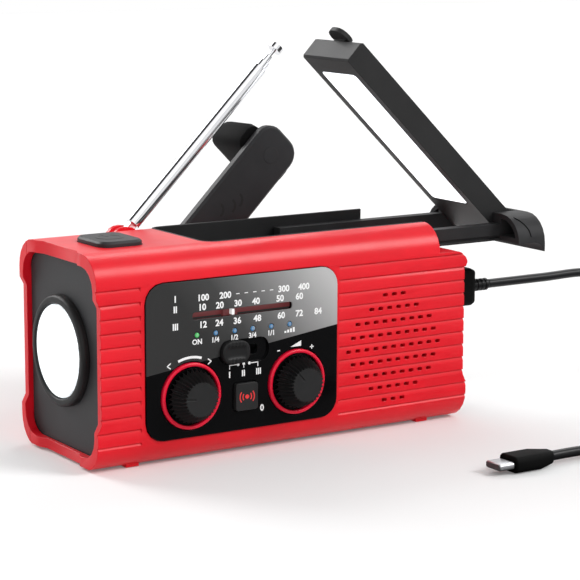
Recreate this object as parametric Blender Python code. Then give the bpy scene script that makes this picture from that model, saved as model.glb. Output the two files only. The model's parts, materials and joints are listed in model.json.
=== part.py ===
"""Hand-cranked weather radio: a moulded two-shell case with a tuning dial, a speaker grille, a flashlight,
a sliding and folding solar lamp, a telescopic antenna, a folding crank with its gears and generator, and
a charging lead. Lengths are in metres. X runs along the case to its port end, Y runs from the dial to the
crank and Z points up. The origin is the middle of the flat underside."""

import math

import bmesh
import bpy
from mathutils import Matrix, Vector

# Clearances shared by all pieces
GAP = 0.0003
OVERRUN = 0.001

# Case
BODY_LENGTH = 0.160
BODY_DEPTH = 0.060
BODY_HEIGHT = 0.077
EDGE_RADIUS = 0.011
SHELL_WALL = 0.0028
END_WALL = 0.0030
END_FRAME_HEIGHT = 0.0045
BUMPER_RISE = 0.0015
BUMPER_SLOPE = 0.0030
BUMPER_REACH_Z = 0.0150
BUMPER_REACH_Y = 0.0140
END_LIFT = 0.0008
END_LIFT_LENGTH = 0.0180
FOOT_LENGTH = 0.0052
FOOT_WIDTH = 0.0050
FOOT_HEIGHT = 0.0040
FOOT_INSET_X = 0.0140
FOOT_INSET_Y = 0.0060

# Lapped boards on the front
BOARD_COUNT = 12
BOARD_PITCH = 0.005025
BOARD_TOP_DROP = 0.01184
BOARD_STEP = 0.0008
BOARD_SLOPE = 0.0016
BOARD_LEFT_END = 0.0172
BOARD_PLATE_GAP = 0.0013

# Speaker grille and speaker
GRILLE_COUNTS = (3, 6, 9, 10, 11, 10, 9, 6, 3)
GRILLE_FIRST_BOARD = 2
GRILLE_INSET = 0.0345
GRILLE_PITCH = 0.00411
SLOT_LENGTH = 0.0024
SLOT_HEIGHT = 0.0013
SPEAKER_RADIUS = 0.0225
SPEAKER_RIM = 0.0030
SPEAKER_DEPTH = 0.0170
SPEAKER_FLANGE = 0.0016
MAGNET_RADIUS = 0.0130
MAGNET_HEIGHT = 0.0070
CONE_RADIUS = 0.0075

# Dial plate
PLATE_LEFT = 0.0190
PLATE_LENGTH = 0.0803
PLATE_LOW_Z = 0.0095
PLATE_TOP_DROP = 0.0112
PLATE_CORNER = 0.0070
PLATE_THICKNESS = 0.0018
PLATE_RECESS = 0.0016
PLATE_LAND = 0.0030

# Knobs, their rings and shafts
KNOB_Z = 0.0244
TUNING_INSET = 0.0180
VOLUME_INSET = 0.0625
RING_RADIUS = 0.0123
RING_BAND = 0.0020
RING_THICKNESS = 0.0017
RING_GROOVE = 0.0010
KNOB_BASE_RADIUS = 0.0099
KNOB_FACE_RADIUS = 0.0069
KNOB_HEIGHT = 0.0080
KNOB_FLUTES = 16
KNOB_FLUTE_DEPTH = 0.0007
KNOB_EDGE = 0.0010
KNOB_NOTCH_WIDTH = 0.0014
KNOB_NOTCH_DEPTH = 0.0008
SHAFT_RADIUS = 0.0030
SHAFT_GRIP = 0.0050
SHAFT_ROOT = 0.0040
CAPACITOR_SIZE = 0.0200
CAPACITOR_DEPTH = 0.0110
CONTROL_RADIUS = 0.0080
CONTROL_DEPTH = 0.0080

# Pointer window and pointer
WINDOW_INSET = 0.0187
WINDOW_LENGTH = 0.0418
WINDOW_Z = 0.0530
WINDOW_HEIGHT = 0.0026
POINTER_INSET = 0.0355
POINTER_WIDTH = 0.0010
POINTER_HEIGHT = 0.0020
POINTER_SLED_LENGTH = 0.0060
POINTER_SLED_HEIGHT = 0.0050
POINTER_SLED_DEPTH = 0.0015

# Band slider
BAND_INSET = 0.0402
BAND_Z = 0.0384
BAND_WINDOW_LENGTH = 0.0207
BAND_WINDOW_HEIGHT = 0.0088
BAND_CAP_LENGTH = 0.0118
BAND_CAP_RISE = 0.0016
BAND_RIB_COUNT = 5
BAND_RIB_WIDTH = 0.0010
BAND_RIB_RISE = 0.0006
BAND_STEM_SIZE = 0.0030
BAND_BODY_LENGTH = 0.0180
BAND_CORNER = 0.0036
BAND_POCKET_DEPTH = 0.0010
BAND_BODY_HEIGHT = 0.0070
BAND_BODY_DEPTH = 0.0025

# Alarm button
SOS_INSET = 0.04045
SOS_Z = 0.0217
SOS_WIDTH = 0.0093
SOS_HEIGHT = 0.0100
SOS_RISE = 0.0014
SOS_CORNER = 0.0010
SOS_FLANGE = 0.0010
SOS_TRAVEL = 0.0010
SOS_STEM_RADIUS = 0.0015
SWITCH_SIZE = 0.0060
SWITCH_DEPTH = 0.0020

# Indicator lamps
INDICATOR_INSET = 0.0205
INDICATOR_PITCH = 0.00778
INDICATOR_COUNT = 6
INDICATOR_Z = 0.0461
INDICATOR_RADIUS = 0.0009
INDICATOR_BAR_HEIGHT = 0.0030

# Main board
BOARD_LEFT_INSET = 0.0160
BOARD_SPEAKER_GAP = 0.0005
BOARD_LOW_Z = 0.0060
BOARD_TOP_GAP = 0.0150
BOARD_STANDOFF = 0.0060
BOARD_THICKNESS = 0.0016
BOARD_BOSS_RADIUS = 0.0025
BOARD_BOSS_INSET = 0.0035

# Battery pack
BATTERY_LENGTH = 0.0700
BATTERY_DEPTH = 0.0260
BATTERY_HEADROOM = 0.0035
BATTERY_CENTRE_X = -0.0200
BATTERY_BACK_Y = 0.0220
BATTERY_CORNER = 0.0040

# Case screws
SCREW_INSET = 0.0110
SCREW_LOW_Z = 0.0120
SCREW_TOP_DROP = 0.0190
POST_RADIUS = 0.0032
SCREW_HEAD_RADIUS = 0.0027
SCREW_SHANK_RADIUS = 0.0014
SCREW_LENGTH = 0.0120
SCREW_SINK = 0.0018

# Power button
POWER_LEFT = 0.0115
POWER_LENGTH = 0.0175
POWER_FRONT = 0.0170
POWER_WIDTH = 0.0220
POWER_CORNER = 0.0040
POWER_RISE = 0.0020
POWER_FLANGE = 0.0012
POWER_FLANGE_HEIGHT = 0.0010
POWER_TRAVEL = 0.0010
POWER_EDGE = 0.0008

# Flashlight
LAMP_FACE_Y = 0.0015
LAMP_FACE_RISE = 0.0005
LENS_RADIUS = 0.0170
LENS_THICKNESS = 0.0016
LENS_DOME = 0.0010
LENS_SHOULDER_SHARE = 0.75
BEZEL_BAND = 0.0022
BEZEL_RISE = 0.0028
END_PANEL_THICKNESS = 0.0020
REFLECTOR_DEPTH = 0.0160
REFLECTOR_WALL = 0.0010
REFLECTOR_THROAT = 0.0035
LED_BOARD_RADIUS = 0.0060
LED_BOARD_THICKNESS = 0.0012
LED_RADIUS = 0.0025
LED_HEIGHT = 0.0020
LED_FACE_SHARE = 0.7

# Lamp bay in the top of the case
BAY_END_GAP = 0.0009
BAY_CORNER = 0.0034
BAY_WALL = 0.0011
BAY_FLOOR = 0.0014
BAY_DEPTH = 0.0125
BAY_LIP_REACH = 0.0010

# Ledge at the port end that the lamp carriage closes
LEDGE_LENGTH = 0.0133
LEDGE_DROP = 0.0108
LEDGE_RADIUS = 0.0055
LEDGE_WALL = 0.0024
PORT_FRAME_DROP = 0.0102

# Lamp carriage
SLIDE_TRAVEL = 0.0380
RAIL_WIDTH = 0.0045
RAIL_LENGTH = 0.0800
RAIL_TOP_DROP = 0.0040
RAIL_GROOVE_LOW = 0.0007
RAIL_GROOVE_HEIGHT = 0.0013
RAIL_GROOVE_DEPTH = 0.0010
CAP_LENGTH = 0.0130
CAP_BACK_WALL = 0.0018
CAP_SHELL = 0.0020
CAP_GRIP_RADIUS = 0.0085
CAP_GRIP_WIDTH = 0.0006
CAP_GRIP_DEPTH = 0.0005
CAP_GRIP_X = 0.0065
CAP_GRIP_Z = 0.0025

# Folding lamp
LAMP_CENTRE_Y = 0.0020
LAMP_WIDTH = 0.0304
LAMP_THICKNESS = 0.0095
LAMP_LENGTH = 0.1014
LAMP_HINGE_INSET = 0.0069
LAMP_HINGE_DROP = 0.00495
LAMP_OPEN_ANGLE = math.radians(43.9)
LAMP_EDGE = 0.0008
HINGE_PIN_RADIUS = 0.0013
HINGE_PIN_REACH = 0.0030
LIGHT_START = 0.0170
LIGHT_END = 0.0084
LIGHT_WIDTH = 0.0230
LIGHT_CORNER = 0.0015
LIGHT_DEPTH = 0.0045
LIGHT_COVER = 0.0012
LIGHT_LED_COUNT = 6
LIGHT_LED_SIZE = 0.0035
LIGHT_LED_HEIGHT = 0.0010
LIGHT_BOARD = 0.0010
SOLAR_START = 0.0100
SOLAR_END = 0.0054
SOLAR_WIDTH = 0.0260
SOLAR_CORNER = 0.0015
SOLAR_DEPTH = 0.0014
SOLAR_THICKNESS = 0.0010
TAB_WIDTH = 0.0105
TAB_REACH = 0.0045
TAB_ROOT = 0.0040
TAB_THICKNESS = 0.0018

# Antenna
ANTENNA_Y = 0.0266
ANTENNA_X = -0.0392
ANTENNA_DROP = 0.0032
ANTENNA_ANGLE = math.radians(45.0)
ANTENNA_START = 0.0062
ANTENNA_LENGTH = 0.0796
ANTENNA_RADII = (0.0028, 0.0021, 0.0014, 0.0008)
ANTENNA_WALL = 0.00035
ANTENNA_STEP = 0.0030
ANTENNA_NEST = 0.0030
ANTENNA_CAP_RADIUS = 0.00275
ANTENNA_CAP_LENGTH = 0.0022
EYE_RADIUS = 0.0030
EYE_WIDTH = 0.0024
PIVOT_PIN_RADIUS = 0.0010
CHEEK_LENGTH = 0.0108
CHEEK_RISE = 0.0040
CHANNEL_LENGTH = 0.1023
CHANNEL_BACK = 0.0062
CHANNEL_FLOOR = 0.0032

# Crank
CRANK_X = -0.0184
CRANK_DROP = 0.0289
CRANK_ANGLE = math.radians(45.0)
CRANK_RADIUS = 0.0720
CRANK_RECESS_DEPTH = 0.0058
CRANK_RECESS_RADIUS = 0.0120
TUB_WALL = 0.0018
HUB_RADIUS = 0.0110
HUB_HEIGHT = 0.0042
HUB_SHAFT_RADIUS = 0.0030
EAR_WIDTH = 0.0030
EAR_RADIUS = 0.0030
FOLD_PIN_RISE = 0.0025
FOLD_PIN_RADIUS = 0.0012
NECK_WIDTH = 0.0090
NECK_RADIUS = 0.0021
ARM_WIDTH = 0.0205
ARM_THICKNESS = 0.0045
ARM_STANDOFF = 0.0060
ARM_START = 0.0125
ARM_EDGE = 0.0009
HANDLE_WIDTH = 0.0270
HANDLE_DEPTH = 0.0120
HANDLE_LENGTH = 0.0245
HANDLE_ALONG_SHARES = (0.0, 0.12, 0.75, 0.93, 1.0)
HANDLE_SIZE_SHARES = (0.94, 1.0, 0.97, 0.86, 0.66)
HANDLE_AXLE_RADIUS = 0.0018
HANDLE_AXLE_HEAD = 0.0032
HANDLE_AXLE_CUP = 0.0020

# Gears and generator
GEAR_MODULE = 0.0010
CRANK_GEAR_TEETH = 28
IDLER_PINION_TEETH = 10
IDLER_GEAR_TEETH = 26
GENERATOR_PINION_TEETH = 10
TOOTH_TIP_SHARE = 0.8
TOOTH_ROOT_SHARE = 1.15
TOOTH_TIP_WIDTH_SHARE = 0.55
TOOTH_ROOT_WIDTH_SHARE = 1.45
GEAR_WIDTH = 0.0030
GEAR_SPACING = 0.0010
IDLER_DIRECTION = math.radians(-30.0)
GENERATOR_DIRECTION = 0.0
GENERATOR_RADIUS = 0.0120
GENERATOR_LENGTH = 0.0165
GENERATOR_SHAFT_RADIUS = 0.0010
GENERATOR_SHAFT_DEPTH = 0.0060
IDLER_PIN_RADIUS = 0.0015
BRACKET_THICKNESS = 0.0016
BRACKET_MARGIN = 0.0020
BRACKET_POST_RADIUS = 0.0022

# Sockets in the port end
USB_Y = -0.0060
USB_DROP = 0.0192
USB_SOCKET_HEIGHT = 0.0144
USB_SOCKET_WIDTH = 0.0070
USB_SOCKET_LENGTH = 0.0140
USB_MOUTH_HEIGHT = 0.0126
USB_MOUTH_WIDTH = 0.0051
USB_TONGUE_HEIGHT = 0.0096
USB_TONGUE_WIDTH = 0.0016
CHARGE_Y = 0.0110
CHARGE_HEIGHT = 0.0094
CHARGE_WIDTH = 0.0036
CHARGE_WALL = 0.0005
CHARGE_LENGTH = 0.0070

# Charging lead
PLUG_SHELL_HEIGHT = 0.0120
PLUG_SHELL_WIDTH = 0.0045
PLUG_SHELL_LENGTH = 0.0115
PLUG_SHELL_WALL = 0.00045
PLUG_GRIP_HEIGHT = 0.0150
PLUG_GRIP_WIDTH = 0.0080
PLUG_GRIP_LENGTH = 0.0200
PLUG_GRIP_CORNER = 0.0020
RELIEF_LENGTH = 0.0080
RELIEF_RADIUS = 0.0025
RELIEF_RINGS = 4
RELIEF_RING_SHARE = 0.6
RELIEF_GROOVE_SHARES = (0.65, 0.95)
CORD_RADIUS = 0.0018
CORD_SPACING = 0.0085
DEVICE_GRIP_HEIGHT = 0.0060
DEVICE_GRIP_WIDTH = 0.0105
DEVICE_GRIP_LENGTH = 0.0190
DEVICE_NECK_SHARE = 0.6
DEVICE_NECK_HEIGHT_SHARE = 0.8
DEVICE_SHELL_HEIGHT = 0.0025
DEVICE_SHELL_WIDTH = 0.0084
DEVICE_SHELL_LENGTH = 0.0065
DEVICE_X = 0.0450
DEVICE_Y = -0.1000

# Colours, from the photograph
RED = (0.82, 0.012, 0.022, 1.0)
BLACK = (0.012, 0.012, 0.013, 1.0)
DARK_GREY = (0.035, 0.035, 0.038, 1.0)
WHITE = (0.85, 0.85, 0.85, 1.0)
STEEL = (0.62, 0.62, 0.64, 1.0)
BRASS = (0.70, 0.50, 0.22, 1.0)
BOARD_GREEN = (0.02, 0.16, 0.06, 1.0)
CELL_BLUE = (0.02, 0.04, 0.12, 1.0)

# Places worked out from the sizes above
LEFT_X = -BODY_LENGTH / 2
RIGHT_X = BODY_LENGTH / 2
FRONT_Y = -BODY_DEPTH / 2
BACK_Y = BODY_DEPTH / 2
INNER_FRONT_Y = FRONT_Y + SHELL_WALL
INNER_BACK_Y = BACK_Y - SHELL_WALL
PLATE_LEFT_X = LEFT_X + PLATE_LEFT
PLATE_RIGHT_X = PLATE_LEFT_X + PLATE_LENGTH
PLATE_TOP_Z = BODY_HEIGHT - PLATE_TOP_DROP
TUNING_X = PLATE_LEFT_X + TUNING_INSET
VOLUME_X = PLATE_LEFT_X + VOLUME_INSET
WINDOW_LEFT_X = PLATE_LEFT_X + WINDOW_INSET
WINDOW_RIGHT_X = WINDOW_LEFT_X + WINDOW_LENGTH
POINTER_X = PLATE_LEFT_X + POINTER_INSET
BAND_CENTRE_X = PLATE_LEFT_X + BAND_INSET
SOS_X = PLATE_LEFT_X + SOS_INSET
INDICATOR_X = [PLATE_LEFT_X + INDICATOR_INSET + INDICATOR_PITCH * index for index in range(INDICATOR_COUNT)]
BOARD_TOP_Z = BODY_HEIGHT - BOARD_TOP_DROP
BOARD_RIGHT_START_X = PLATE_RIGHT_X + BOARD_PLATE_GAP
GRILLE_CENTRE_X = RIGHT_X - GRILLE_INSET
BOARD_LEFT_X = LEFT_X + BOARD_LEFT_INSET
BOARD_RIGHT_X = GRILLE_CENTRE_X - SPEAKER_RADIUS - BOARD_SPEAKER_GAP
BOARD_HIGH_Z = BODY_HEIGHT - BOARD_TOP_GAP
SCREW_X = RIGHT_X - SCREW_INSET
SCREW_HIGH_Z = BODY_HEIGHT - SCREW_TOP_DROP
LAMP_FACE_Z = BODY_HEIGHT / 2 + LAMP_FACE_RISE
BAY_FLOOR_Z = BODY_HEIGHT - BAY_DEPTH
LEDGE_START_X = RIGHT_X - LEDGE_LENGTH
LEDGE_Z = BODY_HEIGHT - LEDGE_DROP
PORT_OPENING_TOP_Z = LEDGE_Z - PORT_FRAME_DROP
RAIL_LOW_Z = LEDGE_Z + GAP
RAIL_TOP_Z = BODY_HEIGHT - RAIL_TOP_DROP
CAP_START_X = LEDGE_START_X + GAP
CAP_END_X = CAP_START_X + CAP_LENGTH
LAMP_HINGE_X = CAP_END_X - LAMP_HINGE_INSET
LAMP_HINGE_Z = BODY_HEIGHT - LAMP_HINGE_DROP
LIGHT_LENGTH = LAMP_LENGTH - LIGHT_START - LIGHT_END
SOLAR_LENGTH = LAMP_LENGTH - SOLAR_START - SOLAR_END
ANTENNA_Z = BODY_HEIGHT - ANTENNA_DROP
CRANK_Z = BODY_HEIGHT - CRANK_DROP
USB_Z = LEDGE_Z - USB_DROP
BAY_HALF = LAMP_WIDTH / 2 + GAP + RAIL_WIDTH + GAP
BAY_FRONT_Y = LAMP_CENTRE_Y - BAY_HALF
BAY_BACK_Y = LAMP_CENTRE_Y + BAY_HALF
BAY_LEFT_X = LAMP_HINGE_X - LAMP_LENGTH - BAY_END_GAP
BAY_OUTER_BACK_Y = BAY_BACK_Y + BAY_WALL
BAY_INNER_Z = BAY_FLOOR_Z + BAY_FLOOR
SHELL_PARTING_Y = BAY_OUTER_BACK_Y + GAP / 2
PLATE_BACK_Y = FRONT_Y + PLATE_RECESS - GAP
PLATE_FRONT_Y = PLATE_BACK_Y - PLATE_THICKNESS
BAND_FLOOR_Y = PLATE_FRONT_Y + BAND_POCKET_DEPTH
BOARD_FRONT_Y = INNER_FRONT_Y + BOARD_STANDOFF
BOARD_BACK_Y = BOARD_FRONT_Y + BOARD_THICKNESS
SPEAKER_Z = BOARD_TOP_Z - BOARD_PITCH * (GRILLE_FIRST_BOARD + len(GRILLE_COUNTS) / 2)
RECESS_FLOOR_Y = BACK_Y - CRANK_RECESS_DEPTH
TUB_BACK_Y = RECESS_FLOOR_Y - TUB_WALL
FOLD_PIN_Y = BACK_Y + FOLD_PIN_RISE
ARM_FRONT_Y = BACK_Y + ARM_STANDOFF
ARM_BACK_Y = ARM_FRONT_Y + ARM_THICKNESS
HANDLE_END_Y = ARM_BACK_Y + GAP + HANDLE_LENGTH
POCKET_FLOOR_Y = 2 * FOLD_PIN_Y - HANDLE_END_Y - GAP
CRANK_GEAR_BACK_Y = TUB_BACK_Y - GEAR_SPACING
CRANK_GEAR_FRONT_Y = CRANK_GEAR_BACK_Y - GEAR_WIDTH
IDLER_GEAR_BACK_Y = CRANK_GEAR_FRONT_Y - GEAR_SPACING
IDLER_GEAR_FRONT_Y = IDLER_GEAR_BACK_Y - GEAR_WIDTH
BRACKET_BACK_Y = IDLER_GEAR_FRONT_Y - GEAR_SPACING
BRACKET_FRONT_Y = BRACKET_BACK_Y - BRACKET_THICKNESS
END_PANEL_X = RIGHT_X - END_WALL - GAP


def rounded_outline(low_u, high_u, low_v, high_v, radius, steps=4):
    """Corners of a rectangle from (low_u, low_v) to (high_u, high_v), each rounded by an arc."""
    centres = ((high_u - radius, high_v - radius), (low_u + radius, high_v - radius),
               (low_u + radius, low_v + radius), (high_u - radius, low_v + radius))
    points = []
    for quarter, (centre_u, centre_v) in enumerate(centres):
        for step in range(steps + 1):
            angle = math.pi / 2 * (quarter + step / steps)
            points.append((centre_u + radius * math.cos(angle), centre_v + radius * math.sin(angle)))
    return points


def centred_outline(centre_u, centre_v, size_u, size_v, radius, steps=4):
    """Rounded rectangle about its own centre."""
    return rounded_outline(centre_u - size_u / 2, centre_u + size_u / 2,
                           centre_v - size_v / 2, centre_v + size_v / 2, radius, steps)


def circle_outline(centre_u, centre_v, radius, steps=24):
    """Regular outline of a circle."""
    return [(centre_u + radius * math.cos(2 * math.pi * step / steps),
             centre_v + radius * math.sin(2 * math.pi * step / steps)) for step in range(steps)]


def box_outline(low_u, high_u, low_v, high_v):
    """Plain rectangle."""
    return [(low_u, low_v), (high_u, low_v), (high_u, high_v), (low_u, high_v)]


def oriented(axis, u, v, along):
    """A point from its two outline coordinates and its place along the extrusion axis."""
    if axis == "X":
        return (along, u, v)
    if axis == "Y":
        return (u, along, v)
    return (u, v, along)


def finish_mesh(build, name):
    """Closes a bmesh into an object whose faces all look outward."""
    bmesh.ops.recalc_face_normals(build, faces=build.faces)
    mesh = bpy.data.meshes.new(name)
    build.to_mesh(mesh)
    build.free()
    piece = bpy.data.objects.new(name, mesh)
    bpy.context.scene.collection.objects.link(piece)
    return piece


def add_rings(build, rings, capped=True):
    """Joins rings of equal point counts, one after another, and closes both ends."""
    loops = [[build.verts.new(point) for point in ring] for ring in rings]
    count = len(loops[0])
    for first, second in zip(loops, loops[1:]):
        for index in range(count):
            following = (index + 1) % count
            build.faces.new((first[index], first[following], second[following], second[index]))
    if capped:
        build.faces.new(list(reversed(loops[0])))
        build.faces.new(loops[-1])


def prism(name, outline, axis, low, high):
    """Solid with one outline, from low to high along an axis."""
    return prisms(name, [outline], axis, low, high)


def prisms(name, outlines, axis, low, high):
    """Several separate solids of the same extent along an axis, in one object."""
    build = bmesh.new()
    for outline in outlines:
        add_rings(build, [[oriented(axis, u, v, along) for u, v in outline] for along in (low, high)])
    return finish_mesh(build, name)


def loft(name, sections, axis):
    """Solid through several outlines, each given with its place along the axis."""
    build = bmesh.new()
    add_rings(build, [[oriented(axis, u, v, along) for u, v in outline] for outline, along in sections])
    return finish_mesh(build, name)


def turned(name, profile, axis, centre, steps=32):
    """Solid of revolution. The profile is a closed list of (radius, place along the axis)."""
    build = bmesh.new()
    rings = []
    for radius, along in profile:
        if radius == 0:
            rings.append([build.verts.new(oriented(axis, centre[0], centre[1], along))])
        else:
            rings.append([build.verts.new(oriented(axis, u, v, along))
                          for u, v in circle_outline(centre[0], centre[1], radius, steps)])
    for first, second in zip(rings, rings[1:] + rings[:1]):
        for step in range(steps):
            following = (step + 1) % steps
            if len(first) == 1 and len(second) == 1:
                continue
            if len(first) == 1:
                build.faces.new((first[0], second[following], second[step]))
            elif len(second) == 1:
                build.faces.new((first[step], first[following], second[0]))
            else:
                build.faces.new((first[step], first[following], second[following], second[step]))
    return finish_mesh(build, name)


def block(name, low, high):
    """Plain box from its low corner to its high corner."""
    return prism(name, box_outline(low[0], high[0], low[1], high[1]), "Z", low[2], high[2])


def combine(piece, operation, tools):
    """Applies exact Booleans with the tools, which are used up."""
    for tool in tools:
        tool.hide_render = True
        tool.display_type = "WIRE"
        modifier = piece.modifiers.new("Boolean", "BOOLEAN")
        modifier.operation = operation
        modifier.solver = "EXACT"
        modifier.object = tool
    bpy.context.view_layer.update()
    evaluated = piece.evaluated_get(bpy.context.evaluated_depsgraph_get())
    result = bpy.data.meshes.new_from_object(evaluated)
    piece.modifiers.clear()
    old_mesh = piece.data
    piece.data = result
    bpy.data.meshes.remove(old_mesh)
    for tool in tools:
        tool_mesh = tool.data
        bpy.data.objects.remove(tool)
        bpy.data.meshes.remove(tool_mesh)
    return piece


def cut(piece, *tools):
    """Takes the tools' volumes out of the piece."""
    return combine(piece, "DIFFERENCE", tools)


def join(piece, *tools):
    """Fuses the tools into the piece."""
    return combine(piece, "UNION", tools)


def keep(piece, tool):
    """Keeps only what the piece shares with the tool."""
    return combine(piece, "INTERSECT", [tool])


def duplicate(piece, name):
    """A second object with its own copy of the mesh."""
    copy = bpy.data.objects.new(name, piece.data.copy())
    bpy.context.scene.collection.objects.link(copy)
    return copy


def finish(piece, name, colour, roughness, metallic=0.0):
    """Names a finished piece and gives it a smooth shading and a material of its own."""
    piece.name = name
    piece.data.name = name
    material = bpy.data.materials.new(name)
    material.use_nodes = True
    shader = material.node_tree.nodes["Principled BSDF"]
    shader.inputs["Base Color"].default_value = colour
    shader.inputs["Roughness"].default_value = roughness
    shader.inputs["Metallic"].default_value = metallic
    piece.data.materials.clear()
    piece.data.materials.append(material)
    piece.data.shade_smooth()
    piece.data.set_sharp_from_angle(angle=math.radians(30))
    return piece


def pivot(name, place, parent=None):
    """An empty on a joint's axis. It isn't turned yet, so pieces are laid on it in its unturned pose."""
    empty = bpy.data.objects.new(name, None)
    bpy.context.scene.collection.objects.link(empty)
    empty.location = place
    bpy.context.view_layer.update()
    if parent:
        hang(empty, parent)
    return empty


def hang(piece, parent):
    """Parents a piece without moving it."""
    bpy.context.view_layer.update()
    piece.parent = parent
    piece.matrix_parent_inverse = parent.matrix_world.inverted()


def carry(piece, parent):
    """Moves a piece's origin onto its pivot, where it turns or slides, and parents it there."""
    place = parent.matrix_world.translation.copy()
    piece.data.transform(Matrix.Translation(-place))
    piece.location = place
    hang(piece, parent)
    return piece


def body_outline(inset, steps=6):
    """The case's cross-section, drawn in by an inset."""
    return rounded_outline(FRONT_Y + inset, BACK_Y - inset, inset, BODY_HEIGHT - inset,
                           EDGE_RADIUS - inset, steps)


def ledge_arc(growth, end_x, steps=5):
    """The ledge's rounded end, from its flat top down to a place along X."""
    centre_x = RIGHT_X - LEDGE_RADIUS
    centre_z = LEDGE_Z - LEDGE_RADIUS
    radius = LEDGE_RADIUS + growth
    last = math.acos(max(0.0, min(1.0, (end_x - centre_x) / radius)))
    angles = [math.pi / 2 + (last - math.pi / 2) * step / steps for step in range(steps + 1)]
    return [(centre_x + radius * math.cos(angle), centre_z + radius * math.sin(angle)) for angle in angles]


def bumper_cutters(end_x, outward):
    """Solids that lower the middle of each side of an end, and leave its four corners proud."""
    low = end_x - outward * BUMPER_RISE
    far = end_x + outward * OVERRUN
    lean = BUMPER_SLOPE * OVERRUN / BUMPER_RISE
    spans = ((BUMPER_REACH_Z, BODY_HEIGHT - BUMPER_REACH_Z), (FRONT_Y + BUMPER_REACH_Y, BACK_Y - BUMPER_REACH_Y))
    upright, level = [[(far, start - lean), (low, start + BUMPER_SLOPE), (low, end - BUMPER_SLOPE),
                       (far, end + lean)] for start, end in spans]
    side = SHELL_WALL + OVERRUN
    bar = END_FRAME_HEIGHT + OVERRUN
    tools = []
    for edge_y, inward in ((FRONT_Y, 1), (BACK_Y, -1)):
        tools.append(prism("cutter", upright, "Y", edge_y - inward * OVERRUN, edge_y + inward * side))
    for edge_z, inward in ((0, 1), (BODY_HEIGHT, -1)):
        tools.append(prism("cutter", level, "Z", edge_z - inward * OVERRUN, edge_z + inward * bar))
    return tools


def case_tube():
    """The whole case before it is split: walls, end frames, bumpers, the ledge and its deck."""
    tube = prism("tube", body_outline(0), "X", LEFT_X, RIGHT_X)
    cut(tube, prism("cavity", body_outline(SHELL_WALL), "X", LEFT_X + END_WALL, RIGHT_X - END_WALL))
    deck = ([(LEDGE_START_X - LEDGE_WALL, LEDGE_Z - LEDGE_WALL)]
            + ledge_arc(-LEDGE_WALL, RIGHT_X - END_WALL)
            + [(RIGHT_X - OVERRUN, LEDGE_Z - LEDGE_RADIUS), (RIGHT_X - OVERRUN, BODY_HEIGHT - OVERRUN),
               (LEDGE_START_X - LEDGE_WALL, BODY_HEIGHT - OVERRUN)])
    bulkhead = prism("deck", deck, "Y", FRONT_Y, BACK_Y)
    keep(bulkhead, prism("inside", body_outline(SHELL_WALL / 2), "X", LEFT_X, RIGHT_X))
    join(tube, bulkhead)
    above = ([(LEDGE_START_X, LEDGE_Z)] + ledge_arc(0, RIGHT_X)
             + [(RIGHT_X + OVERRUN, LEDGE_Z - LEDGE_RADIUS), (RIGHT_X + OVERRUN, BODY_HEIGHT + OVERRUN),
                (LEDGE_START_X, BODY_HEIGHT + OVERRUN)])
    cut(tube, prism("above_ledge", above, "Y", FRONT_Y - OVERRUN, BACK_Y + OVERRUN))
    corner = EDGE_RADIUS - SHELL_WALL
    for end_x, outward, top_z in ((LEFT_X, -1, BODY_HEIGHT - END_FRAME_HEIGHT), (RIGHT_X, 1, PORT_OPENING_TOP_Z)):
        window = rounded_outline(INNER_FRONT_Y, INNER_BACK_Y, END_FRAME_HEIGHT, top_z, corner)
        inner_x = end_x - outward * (END_WALL + OVERRUN)
        cut(tube, prism("window", window, "X", inner_x, end_x + outward * OVERRUN))
        cut(tube, *bumper_cutters(end_x, outward))
        lift_x = end_x - outward * END_LIFT_LENGTH
        cut(tube, block("lift", (min(lift_x, end_x - OVERRUN), FRONT_Y - OVERRUN, -OVERRUN),
                        (max(lift_x, end_x + OVERRUN), BACK_Y + OVERRUN, END_LIFT)))
    return tube


def board_cutters():
    """The laps between the front's boards, on both sides of the dial plate."""
    outlines = []
    for index in range(BOARD_COUNT):
        top = BOARD_TOP_Z - index * BOARD_PITCH
        run_out = BOARD_SLOPE * OVERRUN / BOARD_STEP
        outlines.append([(FRONT_Y - OVERRUN, top), (FRONT_Y + BOARD_STEP, top),
                         (FRONT_Y - OVERRUN, top - BOARD_SLOPE - run_out)])
    return [prisms("left_laps", outlines, "X", LEFT_X - OVERRUN, LEFT_X + BOARD_LEFT_END),
            prisms("right_laps", outlines, "X", BOARD_RIGHT_START_X, RIGHT_X + OVERRUN)]


def slot_outline(x, z):
    """One grille slot, with ends drawn to a blunt point."""
    half_length = SLOT_LENGTH / 2
    half_height = SLOT_HEIGHT / 2
    shoulder = half_length - half_height / 2
    return [(x + half_length, z), (x + shoulder, z + half_height), (x - shoulder, z + half_height),
            (x - half_length, z), (x - shoulder, z - half_height), (x + shoulder, z - half_height)]


def grille_cutter():
    """The speaker's slots, one row to a board, on a round field."""
    outlines = []
    for row, count in enumerate(GRILLE_COUNTS):
        z = BOARD_TOP_Z - BOARD_PITCH * (GRILLE_FIRST_BOARD + row + 0.5)
        for column in range(count):
            x = GRILLE_CENTRE_X + (column - (count - 1) / 2) * GRILLE_PITCH
            outlines.append(slot_outline(x, z))
    return prisms("slots", outlines, "Y", FRONT_Y - OVERRUN, INNER_FRONT_Y + OVERRUN)


def bay_outline(growth):
    """The lamp bay in plan, open past the port end, with two rounded corners at its closed end."""
    left = BAY_LEFT_X - growth
    front = BAY_FRONT_Y - growth
    back = BAY_BACK_Y + growth
    radius = BAY_CORNER + growth
    rounded = rounded_outline(left, RIGHT_X, front, back, radius)
    corners = [point for point in rounded if point[0] < left + radius + GAP / 2]
    return corners


def bay_plan(growth, end_x):
    """Closed plan of the bay, up to a place along X."""
    rounded = bay_outline(growth)
    front = min(v for u, v in rounded)
    back = max(v for u, v in rounded)
    return rounded + [(end_x, front), (end_x, back)]


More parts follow.
